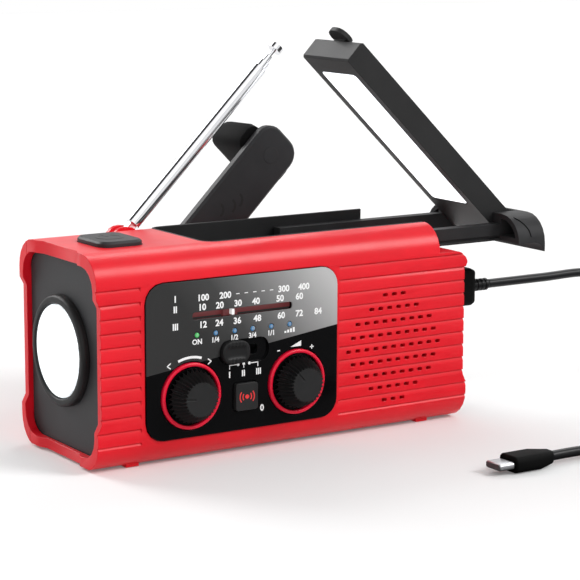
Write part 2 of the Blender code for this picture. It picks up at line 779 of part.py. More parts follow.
def screw_places():
    """The case screws' places, as seen from the back."""
    return [(side * SCREW_X, z) for side in (-1, 1) for z in (SCREW_LOW_Z, SCREW_HIGH_Z)]


def board_boss_places():
    """The corners where the main board is held."""
    return [(x, z) for x in (BOARD_LEFT_X + BOARD_BOSS_INSET, BOARD_RIGHT_X - BOARD_BOSS_INSET)
            for z in (BOARD_LOW_Z + BOARD_BOSS_INSET, BOARD_HIGH_Z - BOARD_BOSS_INSET)]


def power_outline(growth):
    """The power button's outline in plan."""
    left = LEFT_X + POWER_LEFT
    front = FRONT_Y + POWER_FRONT
    return rounded_outline(left - growth, left + POWER_LENGTH + growth, front - growth,
                           front + POWER_WIDTH + growth, POWER_CORNER + growth)


def make_front_shell(tube):
    """The front shell with its boards, grille, plate seat, bay and button openings, feet and posts."""
    shell = duplicate(tube, "front_shell")
    cut(shell, block("rear_half", (LEFT_X - OVERRUN, SHELL_PARTING_Y - GAP / 2, -OVERRUN),
                     (RIGHT_X + OVERRUN, BACK_Y + OVERRUN, BODY_HEIGHT + OVERRUN)))
    posts = [prism("post", circle_outline(x, z, POST_RADIUS, 12), "Y",
                   INNER_FRONT_Y - SHELL_WALL / 2, SHELL_PARTING_Y - GAP / 2) for x, z in screw_places()]
    bosses = [prism("boss", circle_outline(x, z, BOARD_BOSS_RADIUS, 10), "Y",
                    INNER_FRONT_Y - SHELL_WALL / 2, BOARD_FRONT_Y - GAP) for x, z in board_boss_places()]
    feet = []
    for end_x in (LEFT_X + FOOT_INSET_X, RIGHT_X - FOOT_INSET_X - FOOT_LENGTH):
        for low_y in (FRONT_Y + FOOT_INSET_Y, SHELL_PARTING_Y - GAP / 2 - FOOT_WIDTH):
            feet.append(block("foot", (end_x, low_y, 0), (end_x + FOOT_LENGTH, low_y + FOOT_WIDTH, FOOT_HEIGHT)))
    join(shell, *posts, *bosses, *feet)
    pilot = [circle_outline(x, z, SCREW_SHANK_RADIUS + GAP, 12) for x, z in screw_places()]
    cut(shell, prisms("pilots", pilot, "Y", BACK_Y - SCREW_LENGTH - OVERRUN, BACK_Y))
    cut(shell, *board_cutters())
    cut(shell, grille_cutter())
    seat = rounded_outline(PLATE_LEFT_X - GAP, PLATE_RIGHT_X + GAP, PLATE_LOW_Z - GAP, PLATE_TOP_Z + GAP,
                           PLATE_CORNER + GAP)
    window = rounded_outline(PLATE_LEFT_X + PLATE_LAND, PLATE_RIGHT_X - PLATE_LAND, PLATE_LOW_Z + PLATE_LAND,
                             PLATE_TOP_Z - PLATE_LAND, PLATE_CORNER - PLATE_LAND)
    cut(shell, prism("seat", seat, "Y", FRONT_Y - OVERRUN, FRONT_Y + PLATE_RECESS),
        prism("window", window, "Y", FRONT_Y, INNER_FRONT_Y + OVERRUN))
    cut(shell, prism("bay", bay_plan(BAY_WALL + GAP, LEDGE_START_X + GAP), "Z",
                     BAY_FLOOR_Z - GAP, BODY_HEIGHT + OVERRUN),
        prism("button_hole", power_outline(GAP), "Z", BODY_HEIGHT - SHELL_WALL - OVERRUN, BODY_HEIGHT + OVERRUN))
    return finish(shell, "front_shell", RED, 0.35)


def recess_outline(growth):
    """The crank recess on the back: round about the hub and about the arm's end."""
    reach = CRANK_RADIUS + ARM_WIDTH / 2 + CRANK_RECESS_RADIUS - HUB_RADIUS
    return rounded_outline(CRANK_X - CRANK_RECESS_RADIUS - growth, CRANK_X + reach + growth,
                           CRANK_Z - CRANK_RECESS_RADIUS - growth, CRANK_Z + CRANK_RECESS_RADIUS + growth,
                           CRANK_RECESS_RADIUS + growth - GAP, 6)


def pocket_outline(growth):
    """The pocket that takes the crank handle when the arm is folded in."""
    room = 2 * (GAP + growth) + GAP
    return centred_outline(CRANK_X + CRANK_RADIUS, CRANK_Z, HANDLE_DEPTH + room, HANDLE_WIDTH + room,
                           HANDLE_DEPTH / 3, 3)


def cheek_outline():
    """An antenna cheek: a low arch over the pivot on a foot in the channel's floor."""
    steps = 8
    half = CHEEK_LENGTH / 2
    arc = [(ANTENNA_X + half * math.cos(math.pi * step / steps),
            ANTENNA_Z + CHEEK_RISE * math.sin(math.pi * step / steps)) for step in range(steps + 1)]
    foot_z = ANTENNA_Z - CHANNEL_FLOOR - SHELL_WALL / 2
    return arc + [(ANTENNA_X - half, foot_z), (ANTENNA_X + half, foot_z)]


def make_rear_shell(tube):
    """The rear shell with the crank's recess and pocket, the antenna's channel and cheeks, and screw bosses."""
    front_y = SHELL_PARTING_Y + GAP / 2
    shell = duplicate(tube, "rear_shell")
    cut(shell, block("front_half", (LEFT_X - OVERRUN, FRONT_Y - OVERRUN, -OVERRUN),
                     (RIGHT_X + OVERRUN, front_y, BODY_HEIGHT + OVERRUN)))
    channel_start = ANTENNA_X - CHANNEL_BACK
    channel_end = ANTENNA_X + CHANNEL_LENGTH
    channel_z = ANTENNA_Z - CHANNEL_FLOOR
    filling = block("filling", (channel_start - SHELL_WALL, front_y, channel_z - SHELL_WALL),
                    (LEDGE_START_X - GAP, BACK_Y, BODY_HEIGHT))
    keep(filling, prism("inside", body_outline(SHELL_WALL / 2), "X", LEFT_X, RIGHT_X))
    wall_y = INNER_BACK_Y + SHELL_WALL / 2
    join(shell, filling, prism("tub", recess_outline(TUB_WALL), "Y", TUB_BACK_Y, wall_y),
         prism("pocket_tub", pocket_outline(TUB_WALL - GAP), "Y", POCKET_FLOOR_Y - TUB_WALL, wall_y),
         *[prism("boss", circle_outline(x, z, POST_RADIUS, 12), "Y", front_y, wall_y) for x, z in screw_places()])
    cut(shell, block("channel", (channel_start, front_y - OVERRUN, channel_z),
                     (channel_end, BACK_Y + OVERRUN, BODY_HEIGHT + OVERRUN)))
    join(shell, prism("cheeks", cheek_outline(), "Y", front_y, BACK_Y))
    slot_reach = CHEEK_LENGTH / 2 + OVERRUN
    cut(shell, block("eye_slot", (ANTENNA_X - slot_reach, ANTENNA_Y - EYE_WIDTH / 2 - GAP, ANTENNA_Z - EYE_RADIUS - GAP),
                     (ANTENNA_X + slot_reach, ANTENNA_Y + EYE_WIDTH / 2 + GAP, ANTENNA_Z + slot_reach)),
        prism("pin_hole", circle_outline(ANTENNA_X, ANTENNA_Z, PIVOT_PIN_RADIUS + GAP, 12), "Y",
              front_y - OVERRUN, BACK_Y - GAP))
    cut(shell, prism("recess", recess_outline(0), "Y", RECESS_FLOOR_Y, BACK_Y + OVERRUN),
        prism("pocket", pocket_outline(0), "Y", POCKET_FLOOR_Y, BACK_Y + OVERRUN),
        prism("hub_hole", circle_outline(CRANK_X, CRANK_Z, HUB_SHAFT_RADIUS + GAP, 20), "Y",
              TUB_BACK_Y - OVERRUN, RECESS_FLOOR_Y + OVERRUN))
    cut(shell, prisms("shanks", [circle_outline(x, z, SCREW_SHANK_RADIUS + GAP, 12) for x, z in screw_places()],
                      "Y", front_y - OVERRUN, BACK_Y),
        prisms("heads", [circle_outline(x, z, SCREW_HEAD_RADIUS + GAP, 12) for x, z in screw_places()],
               "Y", BACK_Y - SCREW_SINK - GAP, BACK_Y + OVERRUN))
    return finish(shell, "rear_shell", RED, 0.35)


def make_lamp_bay():
    """The black tray in the top, with guide lips for the rails."""
    end_x = LEDGE_START_X - GAP
    tray = prism("tray", bay_plan(BAY_WALL, end_x), "Z", BAY_FLOOR_Z, BODY_HEIGHT)
    cut(tray, prism("pocket", bay_plan(0, end_x + OVERRUN), "Z", BAY_INNER_Z, BODY_HEIGHT + OVERRUN))
    low_z = RAIL_LOW_Z + RAIL_GROOVE_LOW + GAP
    high_z = RAIL_LOW_Z + RAIL_GROOVE_LOW + RAIL_GROOVE_HEIGHT - GAP
    start_x = BAY_LEFT_X + BAY_CORNER
    join(tray, block("front_lip", (start_x, BAY_FRONT_Y - BAY_WALL / 2, low_z),
                     (end_x, BAY_FRONT_Y + BAY_LIP_REACH, high_z)),
         block("back_lip", (start_x, BAY_BACK_Y - BAY_LIP_REACH, low_z),
               (end_x, BAY_BACK_Y + BAY_WALL / 2, high_z)))
    return finish(tray, "lamp_bay", BLACK, 0.45)


def make_end_panels():
    """The dark panels behind the end frames, one with the flashlight's opening and one with the sockets'."""
    fit = SHELL_WALL + GAP
    left_x = -END_PANEL_X
    panel = prism("panel", body_outline(fit), "X", left_x, left_x + END_PANEL_THICKNESS)
    opening = circle_outline(LAMP_FACE_Y, LAMP_FACE_Z, LENS_RADIUS + REFLECTOR_WALL + GAP, 32)
    cut(panel, prism("opening", opening, "X", left_x - OVERRUN, left_x + END_PANEL_THICKNESS + OVERRUN))
    finish(panel, "flashlight_panel", DARK_GREY, 0.5)
    top_z = LEDGE_Z - LEDGE_RADIUS
    low_x = END_PANEL_X - END_PANEL_THICKNESS
    ports = prism("ports", rounded_outline(FRONT_Y + fit, BACK_Y - fit, fit, top_z, EDGE_RADIUS - fit), "X",
                  low_x, END_PANEL_X)
    for y, z, width, height in ((USB_Y, USB_Z, USB_SOCKET_WIDTH, USB_SOCKET_HEIGHT),
                                (CHARGE_Y, USB_Z, CHARGE_WIDTH, CHARGE_HEIGHT)):
        hole = centred_outline(y, z, width + 2 * GAP, height + 2 * GAP, GAP, 1)
        cut(ports, prism("hole", hole, "X", low_x - OVERRUN, END_PANEL_X + OVERRUN))
    finish(ports, "port_panel", DARK_GREY, 0.5)


def make_flashlight():
    """Bezel, lens, reflector bowl and LED of the flashlight."""
    centre = (LAMP_FACE_Y, LAMP_FACE_Z)
    panel_x = -END_PANEL_X
    outer = LENS_RADIUS + REFLECTOR_WALL
    seat = panel_x - GAP
    lens_back = panel_x - BEZEL_RISE / 2
    bezel = turned("bezel", [(outer + BEZEL_BAND, seat), (LENS_RADIUS - REFLECTOR_WALL + 2 * GAP, seat),
                             (LENS_RADIUS - REFLECTOR_WALL + 2 * GAP, lens_back),
                             (LENS_RADIUS + GAP, lens_back), (LENS_RADIUS + GAP, seat - BEZEL_RISE),
                             (outer + BEZEL_BAND / 2, seat - BEZEL_RISE), (outer + BEZEL_BAND, seat - BEZEL_RISE / 2)],
                   "X", centre, 28)
    finish(bezel, "flashlight_bezel", BLACK, 0.35)
    face = lens_back - GAP
    lens = turned("lens", [(0, face), (LENS_RADIUS, face), (LENS_RADIUS, face - LENS_THICKNESS / 2),
                           (LENS_RADIUS / 2, face - LENS_THICKNESS / 2 - LENS_DOME * LENS_SHOULDER_SHARE),
                           (0, face - LENS_THICKNESS / 2 - LENS_DOME)], "X", centre, 28)
    finish(lens, "flashlight_lens", WHITE, 0.05)
    rim = LENS_RADIUS - REFLECTOR_WALL
    steps = 4
    bowl = [(REFLECTOR_THROAT + (rim - REFLECTOR_THROAT) * math.sqrt(step / steps),
             panel_x + REFLECTOR_DEPTH * (1 - step / steps)) for step in range(steps + 1)]
    outside = [(radius + REFLECTOR_WALL, along) for radius, along in reversed(bowl)]
    outside[0] = (outside[0][0], panel_x)
    finish(turned("bowl", bowl + outside, "X", centre, 24), "flashlight_reflector", STEEL, 0.08, 1.0)
    board_x = panel_x + REFLECTOR_DEPTH + GAP
    led = turned("led", [(0, board_x + LED_BOARD_THICKNESS), (0, board_x - LED_HEIGHT),
                         (LED_RADIUS * LED_FACE_SHARE, board_x - LED_HEIGHT), (LED_RADIUS, board_x),
                         (LED_BOARD_RADIUS, board_x), (LED_BOARD_RADIUS, board_x + LED_BOARD_THICKNESS)],
                 "X", centre, 20)
    finish(led, "flashlight_led", WHITE, 0.3)


def make_dial_plate():
    """The glossy plate with its ring grooves, shaft holes, slider pocket, windows and lamp holes."""
    plate = prism("plate", rounded_outline(PLATE_LEFT_X, PLATE_RIGHT_X, PLATE_LOW_Z, PLATE_TOP_Z, PLATE_CORNER, 6),
                  "Y", PLATE_FRONT_Y, PLATE_BACK_Y)
    groove_y = PLATE_FRONT_Y + RING_GROOVE
    grooves = [turned("groove", [(RING_RADIUS - RING_BAND - GAP, PLATE_FRONT_Y - OVERRUN),
                                 (RING_RADIUS - RING_BAND - GAP, groove_y),
                                 (RING_RADIUS + GAP, groove_y), (RING_RADIUS + GAP, PLATE_FRONT_Y - OVERRUN)],
                      "Y", (x, KNOB_Z), 28) for x in (TUNING_X, VOLUME_X)]
    openings = [circle_outline(x, KNOB_Z, SHAFT_RADIUS + GAP, 16) for x in (TUNING_X, VOLUME_X)]
    openings += [circle_outline(x, INDICATOR_Z, INDICATOR_RADIUS + GAP, 6) for x in INDICATOR_X]
    stem_slot = BAND_STEM_SIZE + 2 * GAP
    slot_length = BAND_WINDOW_LENGTH - 2 * GAP - BAND_CAP_LENGTH + stem_slot
    openings.append(centred_outline(BAND_CENTRE_X, BAND_Z, slot_length, stem_slot, BAND_STEM_SIZE / 3, 2))
    openings.append(centred_outline(SOS_X, SOS_Z, SOS_WIDTH + 2 * GAP, SOS_HEIGHT + 2 * GAP, SOS_CORNER, 2))
    openings.append(rounded_outline(WINDOW_LEFT_X, WINDOW_RIGHT_X, WINDOW_Z - WINDOW_HEIGHT / 2,
                                    WINDOW_Z + WINDOW_HEIGHT / 2, WINDOW_HEIGHT / 3, 2))
    pocket = centred_outline(BAND_CENTRE_X, BAND_Z, BAND_WINDOW_LENGTH, BAND_WINDOW_HEIGHT, BAND_CORNER, 4)
    cut(plate, *grooves)
    cut(plate, prism("pocket", pocket, "Y", PLATE_FRONT_Y - OVERRUN, BAND_FLOOR_Y))
    cut(plate, prisms("openings", openings, "Y", PLATE_FRONT_Y - OVERRUN, PLATE_BACK_Y + OVERRUN))
    return finish(plate, "dial_plate", BLACK, 0.08)


def make_ring(name, x):
    """A red ring set in the plate around a knob, with a rounded face."""
    back = PLATE_FRONT_Y + RING_GROOVE - GAP
    front = back - RING_THICKNESS
    inner = RING_RADIUS - RING_BAND
    edge = RING_BAND / 4
    profile = [(inner, back), (inner, front + edge), (inner + edge, front), (RING_RADIUS - edge, front),
               (RING_RADIUS, front + edge), (RING_RADIUS, back)]
    finish(turned(name, profile, "Y", (x, KNOB_Z), 28), name, RED, 0.25)


def fluted_outline(x, radius):
    """A knob's outline: shallow flutes between rounded ribs."""
    points = []
    for index in range(KNOB_FLUTES * 4):
        angle = 2 * math.pi * index / (KNOB_FLUTES * 4)
        depth = KNOB_FLUTE_DEPTH * (0.5 - 0.5 * math.cos(KNOB_FLUTES * angle))
        points.append((x + (radius - depth) * math.cos(angle), KNOB_Z + (radius - depth) * math.sin(angle)))
    return points


def make_knob(name, x):
    """A fluted knob, tapered to its face, with a pointer notch and a bore for its shaft."""
    base_y = PLATE_FRONT_Y - GAP
    face_y = base_y - KNOB_HEIGHT
    sections = [(fluted_outline(x, KNOB_BASE_RADIUS), base_y), (fluted_outline(x, KNOB_FACE_RADIUS), face_y + KNOB_EDGE),
                (fluted_outline(x, KNOB_FACE_RADIUS - KNOB_EDGE), face_y)]
    knob = loft(name, sections, "Y")
    bore = prism("bore", circle_outline(x, KNOB_Z, SHAFT_RADIUS + GAP, 16), "Y",
                 base_y - SHAFT_GRIP - GAP, base_y + OVERRUN)
    notch = block("notch", (x - KNOB_NOTCH_WIDTH / 2, face_y - OVERRUN, KNOB_Z + KNOB_FACE_RADIUS / 3),
                  (x + KNOB_NOTCH_WIDTH / 2, face_y + KNOB_NOTCH_DEPTH, KNOB_Z + KNOB_BASE_RADIUS))
    cut(knob, bore, notch)
    return finish(knob, name, BLACK, 0.45)


def make_shaft(name, x):
    """A control's shaft, from inside the control to inside the knob."""
    front = PLATE_FRONT_Y - GAP - SHAFT_GRIP
    shaft = prism(name, circle_outline(x, KNOB_Z, SHAFT_RADIUS, 16), "Y", front, BOARD_BACK_Y + GAP + SHAFT_ROOT)
    return finish(shaft, name, STEEL, 0.3, 1.0)


def make_controls():
    """The tuning capacitor and the volume control behind the board, each with a bore for its shaft."""
    low_y = BOARD_BACK_Y + GAP
    half = CAPACITOR_SIZE / 2
    capacitor = prism("capacitor", rounded_outline(TUNING_X - half, TUNING_X + half, KNOB_Z - half, KNOB_Z + half,
                                                   BATTERY_CORNER / 4, 2), "Y", low_y, low_y + CAPACITOR_DEPTH)
    control = prism("control", circle_outline(VOLUME_X, KNOB_Z, CONTROL_RADIUS, 20), "Y", low_y, low_y + CONTROL_DEPTH)
    for piece, x in ((capacitor, TUNING_X), (control, VOLUME_X)):
        cut(piece, prism("bore", circle_outline(x, KNOB_Z, SHAFT_RADIUS + GAP, 16), "Y",
                         low_y - OVERRUN, low_y + SHAFT_ROOT + GAP))
    finish(capacitor, "tuning_capacitor", WHITE, 0.4)
    finish(control, "volume_control", STEEL, 0.4, 0.8)


def make_main_board():
    """The circuit board on its bosses, pierced by the two shafts."""
    board = block("board", (BOARD_LEFT_X, BOARD_FRONT_Y, BOARD_LOW_Z), (BOARD_RIGHT_X, BOARD_BACK_Y, BOARD_HIGH_Z))
    holes = [circle_outline(x, KNOB_Z, SHAFT_RADIUS + GAP, 16) for x in (TUNING_X, VOLUME_X)]
    cut(board, prisms("holes", holes, "Y", BOARD_FRONT_Y - OVERRUN, BOARD_BACK_Y + OVERRUN))
    return finish(board, "main_board", BOARD_GREEN, 0.5)


def make_pointer():
    """The dial pointer: an upright bar on a sled behind the plate."""
    sled_front = PLATE_BACK_Y + GAP
    half = POINTER_SLED_LENGTH / 2
    pointer = block("sled", (POINTER_X - half, sled_front, WINDOW_Z - POINTER_SLED_HEIGHT / 2),
                    (POINTER_X + half, sled_front + POINTER_SLED_DEPTH, WINDOW_Z + POINTER_SLED_HEIGHT / 2))
    join(pointer, block("bar", (POINTER_X - POINTER_WIDTH / 2, PLATE_FRONT_Y, WINDOW_Z - POINTER_HEIGHT / 2),
                        (POINTER_X + POINTER_WIDTH / 2, sled_front + POINTER_SLED_DEPTH / 2,
                         WINDOW_Z + POINTER_HEIGHT / 2)))
    return finish(pointer, "dial_pointer", WHITE, 0.4)


def make_band_switch():
    """The ribbed band slider and the switch body that it drives."""
    cap_left = BAND_CENTRE_X - BAND_WINDOW_LENGTH / 2 + GAP
    cap_x = cap_left + BAND_CAP_LENGTH / 2
    half_height = BAND_WINDOW_HEIGHT / 2 - GAP
    cap_front = PLATE_FRONT_Y - BAND_CAP_RISE
    cap = prism("cap", centred_outline(cap_x, BAND_Z, BAND_CAP_LENGTH, 2 * half_height, BAND_CORNER, 4), "Y",
                cap_front, BAND_FLOOR_Y - GAP / 3)
    body_front = BOARD_FRONT_Y - GAP - BAND_BODY_DEPTH
    stem = block("stem", (cap_x - BAND_STEM_SIZE / 2, PLATE_FRONT_Y, BAND_Z - BAND_STEM_SIZE / 2),
                 (cap_x + BAND_STEM_SIZE / 2, body_front - GAP, BAND_Z + BAND_STEM_SIZE / 2))
    pitch = BAND_CAP_LENGTH / (BAND_RIB_COUNT + 1)
    ribs = []
    for index in range(BAND_RIB_COUNT):
        x = cap_left + pitch * (index + 1)
        ribs.append(block("rib", (x - BAND_RIB_WIDTH / 2, cap_front - BAND_RIB_RISE, BAND_Z - half_height + SOS_CORNER),
                          (x + BAND_RIB_WIDTH / 2, cap_front + OVERRUN, BAND_Z + half_height - SOS_CORNER)))
    join(cap, stem, *ribs)
    finish(cap, "band_slider", BLACK, 0.5)
    body = block("body", (BAND_CENTRE_X - BAND_BODY_LENGTH / 2, body_front, BAND_Z - BAND_BODY_HEIGHT / 2),
                 (BAND_CENTRE_X + BAND_BODY_LENGTH / 2, BOARD_FRONT_Y - GAP, BAND_Z + BAND_BODY_HEIGHT / 2))
    finish(body, "band_switch", STEEL, 0.4, 0.8)
    return cap


def make_sos():
    """The alarm button with its retaining flange and stem, and the switch under it."""
    front = PLATE_FRONT_Y - SOS_RISE
    button = prism("button", centred_outline(SOS_X, SOS_Z, SOS_WIDTH, SOS_HEIGHT, SOS_CORNER, 2), "Y",
                   front, PLATE_BACK_Y + OVERRUN)
    grow = 2 * SOS_FLANGE
    flange_y = PLATE_BACK_Y + GAP
    flange = block("flange", (SOS_X - (SOS_WIDTH + grow) / 2, flange_y, SOS_Z - (SOS_HEIGHT + grow) / 2),
                   (SOS_X + (SOS_WIDTH + grow) / 2, flange_y + SOS_FLANGE, SOS_Z + (SOS_HEIGHT + grow) / 2))
    switch_front = BOARD_FRONT_Y - GAP - SWITCH_DEPTH
    stem = prism("stem", circle_outline(SOS_X, SOS_Z, SOS_STEM_RADIUS, 12), "Y", flange_y,
                 switch_front - SOS_TRAVEL - GAP)
    join(button, flange, stem)
    finish(button, "sos_button", DARK_GREY, 0.45)
    half = SWITCH_SIZE / 2
    switch = block("switch", (SOS_X - half, switch_front, SOS_Z - half),
                   (SOS_X + half, BOARD_FRONT_Y - GAP, SOS_Z + half))
    finish(switch, "sos_switch", STEEL, 0.4, 0.8)
    return button


def make_indicators():
    """The six indicator lamps: one clear light guide with a post to each hole."""
    bar_front = PLATE_BACK_Y + GAP
    left = INDICATOR_X[0] - INDICATOR_BAR_HEIGHT
    right = INDICATOR_X[-1] + INDICATOR_BAR_HEIGHT
    guide = block("bar", (left, bar_front, INDICATOR_Z - INDICATOR_BAR_HEIGHT / 2),
                  (right, BOARD_FRONT_Y - GAP, INDICATOR_Z + INDICATOR_BAR_HEIGHT / 2))
    posts = [circle_outline(x, INDICATOR_Z, INDICATOR_RADIUS, 6) for x in INDICATOR_X]
    join(guide, prisms("posts", posts, "Y", PLATE_FRONT_Y, bar_front + OVERRUN))
    return finish(guide, "indicator_lights", WHITE, 0.2)


def make_power_button():
    """The power button: a rounded pad through the top with a flange under it."""
    low_z = BODY_HEIGHT - SHELL_WALL - GAP
    top_z = BODY_HEIGHT + POWER_RISE
    pad = loft("pad", [(power_outline(0), low_z - POWER_FLANGE_HEIGHT), (power_outline(0), top_z - POWER_EDGE),
                       (power_outline(-POWER_EDGE), top_z)], "Z")
    join(pad, prism("flange", power_outline(POWER_FLANGE), "Z", low_z - POWER_FLANGE_HEIGHT, low_z))
    return finish(pad, "power_button", DARK_GREY, 0.5)


def make_speaker():
    """The loudspeaker: a flanged basket with its cone hollow, and a magnet behind it."""
    centre = (GRILLE_CENTRE_X, SPEAKER_Z)
    front = INNER_FRONT_Y + GAP
    back = front + SPEAKER_DEPTH
    basket = turned("basket", [(0, back), (MAGNET_RADIUS, back), (MAGNET_RADIUS, back - MAGNET_HEIGHT / 2),
                               (SPEAKER_RADIUS - SPEAKER_RIM, front + SPEAKER_FLANGE), (SPEAKER_RADIUS, front + SPEAKER_FLANGE),
                               (SPEAKER_RADIUS, front), (SPEAKER_RADIUS - SPEAKER_RIM, front),
                               (CONE_RADIUS, back - MAGNET_HEIGHT), (0, back - MAGNET_HEIGHT - CONE_RADIUS / 3)],
                    "Y", centre, 24)
    finish(basket, "speaker", BLACK, 0.6)
    magnet = turned("magnet", [(0, back + GAP), (0, back + MAGNET_HEIGHT), (MAGNET_RADIUS, back + MAGNET_HEIGHT),
                               (MAGNET_RADIUS, back + GAP)], "Y", centre, 24)
    finish(magnet, "speaker_magnet", STEEL, 0.4, 0.9)


def make_battery():
    """The rechargeable battery pack on the floor of the case."""
    generator = gear_places()[2]
    high_z = generator[1] - GENERATOR_RADIUS - BRACKET_MARGIN - BATTERY_HEADROOM
    pack = prism("pack", rounded_outline(BATTERY_BACK_Y - BATTERY_DEPTH, BATTERY_BACK_Y, SHELL_WALL + GAP,
                                         high_z, BATTERY_CORNER), "X",
                 BATTERY_CENTRE_X - BATTERY_LENGTH / 2, BATTERY_CENTRE_X + BATTERY_LENGTH / 2)
    return finish(pack, "battery_pack", CELL_BLUE, 0.4)


def place_along(start, distance, direction):
    """A place in the plane of the gears, some way off in a direction."""
    return (start[0] + distance * math.cos(direction), start[1] + distance * math.sin(direction))


def gear_outline(centre, teeth, turn):
    """Outline of a spur gear, each tooth given by its root, flank and tip points. It is turned by an angle."""
    pitch_radius = GEAR_MODULE * teeth / 2
    tip = pitch_radius + TOOTH_TIP_SHARE * GEAR_MODULE
    root = pitch_radius - TOOTH_ROOT_SHARE * GEAR_MODULE
    half_pitch = (math.pi * GEAR_MODULE / 4 - GAP / 2) / pitch_radius
    half_tip = TOOTH_TIP_WIDTH_SHARE * half_pitch
    half_root = TOOTH_ROOT_WIDTH_SHARE * half_pitch
    points = []
    for tooth in range(teeth):
        middle = 2 * math.pi * tooth / teeth + turn
        for radius, offset in ((root, -half_root), (tip, -half_tip), (tip, half_tip), (root, half_root)):
            points.append((centre[0] + radius * math.cos(middle + offset), centre[1] + radius * math.sin(middle + offset)))
    return points


def gear_places():
    """Centres of the crank gear, the idler and the generator, and the turns that put their teeth in mesh."""
    hub = (CRANK_X, CRANK_Z)
    first = GEAR_MODULE * (CRANK_GEAR_TEETH + IDLER_PINION_TEETH) / 2
    second = GEAR_MODULE * (IDLER_GEAR_TEETH + GENERATOR_PINION_TEETH) / 2
    idler = place_along(hub, first, IDLER_DIRECTION)
    generator = place_along(idler, second, GENERATOR_DIRECTION)
    return hub, idler, generator


def make_gears():
    """The crank gear, the compound idler and the generator's pinion with its shaft."""
    hub, idler, generator = gear_places()
    crank_gear = prism("gear", gear_outline(hub, CRANK_GEAR_TEETH, IDLER_DIRECTION), "Y",
                       CRANK_GEAR_FRONT_Y, CRANK_GEAR_BACK_Y)
    cut(crank_gear, prism("bore", circle_outline(hub[0], hub[1], HUB_SHAFT_RADIUS + GAP, 20), "Y",
                          CRANK_GEAR_FRONT_Y - OVERRUN, CRANK_GEAR_BACK_Y + OVERRUN))
    finish(crank_gear, "crank_gear", WHITE, 0.4)
    pinion_turn = IDLER_DIRECTION + math.pi + math.pi / IDLER_PINION_TEETH
    idler_gear = prism("pinion", gear_outline(idler, IDLER_PINION_TEETH, pinion_turn), "Y",
                       IDLER_GEAR_BACK_Y - OVERRUN / 2, CRANK_GEAR_BACK_Y)
    join(idler_gear, prism("wheel", gear_outline(idler, IDLER_GEAR_TEETH, GENERATOR_DIRECTION), "Y",
                           IDLER_GEAR_FRONT_Y, IDLER_GEAR_BACK_Y))
    cut(idler_gear, prism("bore", circle_outline(idler[0], idler[1], IDLER_PIN_RADIUS + GAP, 12), "Y",
                          IDLER_GEAR_FRONT_Y - OVERRUN, CRANK_GEAR_BACK_Y + OVERRUN))
    finish(idler_gear, "idler_gear", WHITE, 0.4)
    turn = GENERATOR_DIRECTION + math.pi + math.pi / GENERATOR_PINION_TEETH
    pinion = prism("pinion", gear_outline(generator, GENERATOR_PINION_TEETH, turn), "Y",
                   IDLER_GEAR_FRONT_Y, IDLER_GEAR_BACK_Y)
    join(pinion, prism("shaft", circle_outline(generator[0], generator[1], GENERATOR_SHAFT_RADIUS, 12), "Y",
                       BRACKET_FRONT_Y - GAP - GENERATOR_SHAFT_DEPTH, IDLER_GEAR_FRONT_Y + OVERRUN))
    finish(pinion, "generator_pinion", BRASS, 0.35, 1.0)
    return crank_gear, idler_gear, pinion


def make_generator():
    """The bracket that carries the idler's pin on four posts, and the generator under it."""
    hub, idler, generator = gear_places()
    margin = GENERATOR_RADIUS + BRACKET_MARGIN
    low_x, high_x = hub[0] - margin, generator[0] + margin
    low_z, high_z = generator[1] - margin, BAY_FLOOR_Z - BRACKET_MARGIN
    bracket = prism("bracket", rounded_outline(low_x, high_x, low_z, high_z, BRACKET_POST_RADIUS), "Y",
                    BRACKET_FRONT_Y, BRACKET_BACK_Y)
    posts = [circle_outline(x, z, BRACKET_POST_RADIUS, 10) for x, z in
             ((low_x + BRACKET_POST_RADIUS, low_z + BRACKET_POST_RADIUS),
              (high_x - BRACKET_POST_RADIUS, low_z + BRACKET_POST_RADIUS))]
    join(bracket, prisms("posts", posts, "Y", BRACKET_FRONT_Y + OVERRUN / 2, INNER_BACK_Y - GAP),
         prism("pin", circle_outline(idler[0], idler[1], IDLER_PIN_RADIUS, 12), "Y",
               BRACKET_FRONT_Y + OVERRUN / 2, CRANK_GEAR_BACK_Y))
    cut(bracket, prism("hole", circle_outline(generator[0], generator[1], GENERATOR_SHAFT_RADIUS + GAP, 12), "Y",
                       BRACKET_FRONT_Y - OVERRUN, BRACKET_BACK_Y + OVERRUN))
    finish(bracket, "gear_bracket", STEEL, 0.35, 1.0)
    back = BRACKET_FRONT_Y - GAP
    motor = turned("motor", [(0, back - GENERATOR_LENGTH), (GENERATOR_RADIUS - BRACKET_MARGIN / 2, back - GENERATOR_LENGTH),
                             (GENERATOR_RADIUS, back - GENERATOR_LENGTH + BRACKET_MARGIN / 2), (GENERATOR_RADIUS, back),
                             (GENERATOR_SHAFT_RADIUS + GAP, back),
                             (GENERATOR_SHAFT_RADIUS + GAP, back - GENERATOR_SHAFT_DEPTH - GAP),
                             (0, back - GENERATOR_SHAFT_DEPTH - GAP)], "Y", generator, 24)
    finish(motor, "generator", STEEL, 0.3, 0.9)


